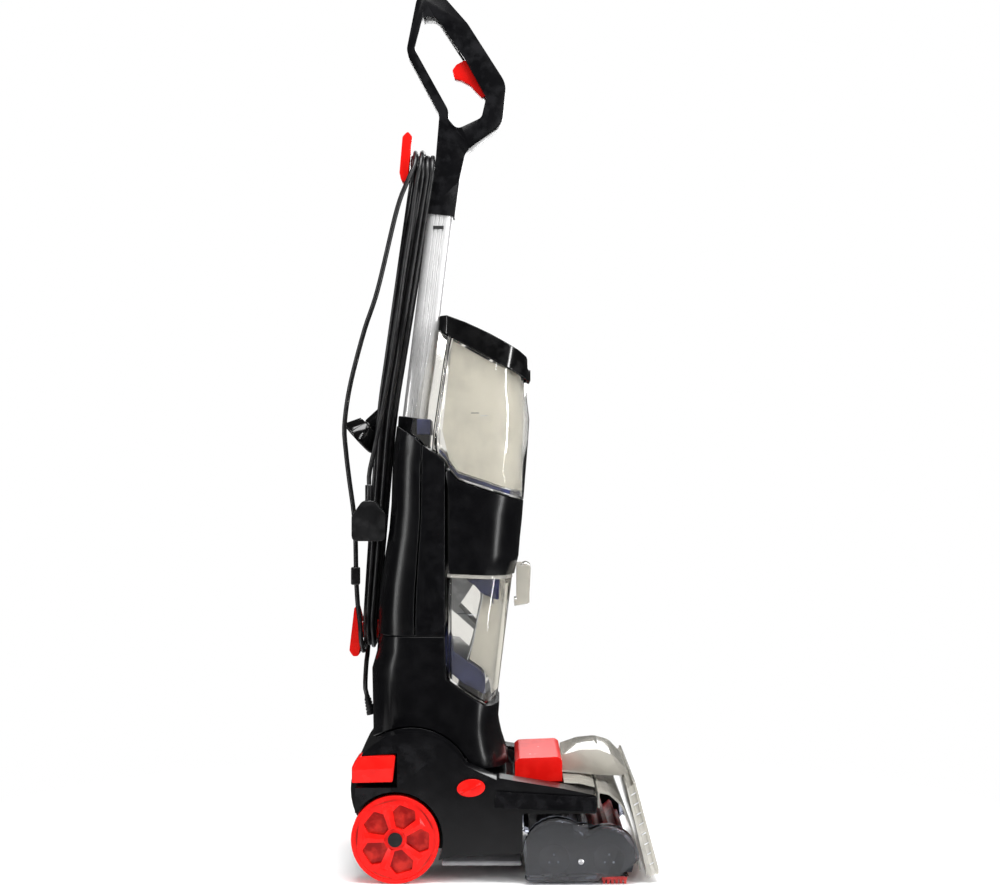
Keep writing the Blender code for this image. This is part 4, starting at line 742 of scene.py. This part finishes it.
relief_profile = [(0.0, 0.0), (0.0060, 0.0)]
for ring in range(5):
    low = 0.0020 + ring * 0.0042
    radius = 0.0060 - ring * 0.00036
    relief_profile += [(radius, low), (radius, low + 0.0026), (radius - 0.0012, low + 0.0030),
                       (radius - 0.0012, low + 0.0040)]
relief_profile += [(0.0040, 0.0236), (0.0034, 0.0242), (0.0, 0.0242)]
relief = piece("ribbed_strain_relief", spun(relief_profile, relief_foot, relief_along, 24), "rubber",
               "upright", stands_for=("cord_strain_relief",))
plug = finer("mains_plug", "rubber", 0.0012, 50)
plug.data.materials.append(FINISH["brass"])
for face in plug.data.polygons:
    if face.center.y > -0.0546:
        face.material_index = 1
clip = piece("cord_clip", block((-0.1915, -0.0445, 0.3600), (-0.1800, -0.0340, 0.3830)), "rubber",
             "upright", edge=0.0020)

# ---- floor, light ----
floor_mesh = bmesh.new()
bmesh.ops.create_grid(floor_mesh, x_segments=1, y_segments=1, size=1.0)
floor_data = bpy.data.meshes.new("studio_floor")
floor_mesh.to_mesh(floor_data)
floor_mesh.free()
floor_mat, floor_tree, floor_shader, floor_vector = start_material("pale_floor", 0.6)
floor_shader.inputs["Specular IOR Level"].default_value = 0.1
floor_tree.links.new(colour_mix(floor_tree, noise(floor_tree, floor_vector, 1.5, 3.0),
                                (0.93, 0.93, 0.93), (0.91, 0.91, 0.91)), floor_shader.inputs["Base Color"])
distance = floor_tree.nodes.new("ShaderNodeVectorMath")
distance.operation = "LENGTH"
floor_tree.links.new(floor_vector, distance.inputs[0])
floor_tree.links.new(spread(floor_tree, distance.outputs["Value"], 0.35, 0.85, 1.0, 0.0),
                     floor_shader.inputs["Alpha"])
floor_data.materials.append(floor_mat)
studio_floor = bpy.data.objects.new("studio_floor", floor_data)
bpy.context.scene.collection.objects.link(studio_floor)


def soft_light(name, place, target, width, height, power):
    light = bpy.data.lights.new(name, "AREA")
    light.shape = "RECTANGLE"
    light.size = width
    light.size_y = height
    light.energy = power
    lamp = bpy.data.objects.new(name, light)
    lamp.location = place
    lamp.rotation_euler = (Vector(target) - Vector(place)).to_track_quat("-Z", "Y").to_euler()
    bpy.context.scene.collection.objects.link(lamp)


soft_light("right_strip", (1.7, -1.0, 0.8), (0.0, 0.0, 0.6), 0.16, 1.7, 30)
soft_light("left_strip", (-1.7, -1.3, 0.9), (-0.1, 0.0, 0.6), 0.12, 1.7, 22)
soft_light("edge_strip", (0.9, -1.9, 1.5), (-0.05, 0.0, 0.9), 0.10, 0.9, 7)
soft_light("top_box", (0.1, -0.7, 2.4), (0.0, 0.0, 0.4), 1.4, 1.0, 62)
soft_light("back_box", (0.4, 2.2, 1.6), (0.0, 0.0, 0.5), 1.8, 1.8, 40)

world = bpy.data.worlds.new("pale_studio")
bpy.context.scene.world = world
world.use_nodes = True
world_tree = world.node_tree
backdrop = world_tree.nodes["Background"]
backdrop.inputs["Color"].default_value = (1.0, 1.0, 1.0, 1.0)
rays = world_tree.nodes.new("ShaderNodeLightPath")
soft = spread(world_tree, rays.outputs["Is Glossy Ray"], 0.0, 1.0, 0.50, 0.03)
through = spread(world_tree, rays.outputs["Is Transmission Ray"], 0.0, 1.0, soft, 0.95)
straight = spread(world_tree, rays.outputs["Is Camera Ray"], 0.0, 1.0, through, 1.0)
world_tree.links.new(straight, backdrop.inputs["Strength"])
bpy.context.scene.view_settings.view_transform = "Standard"
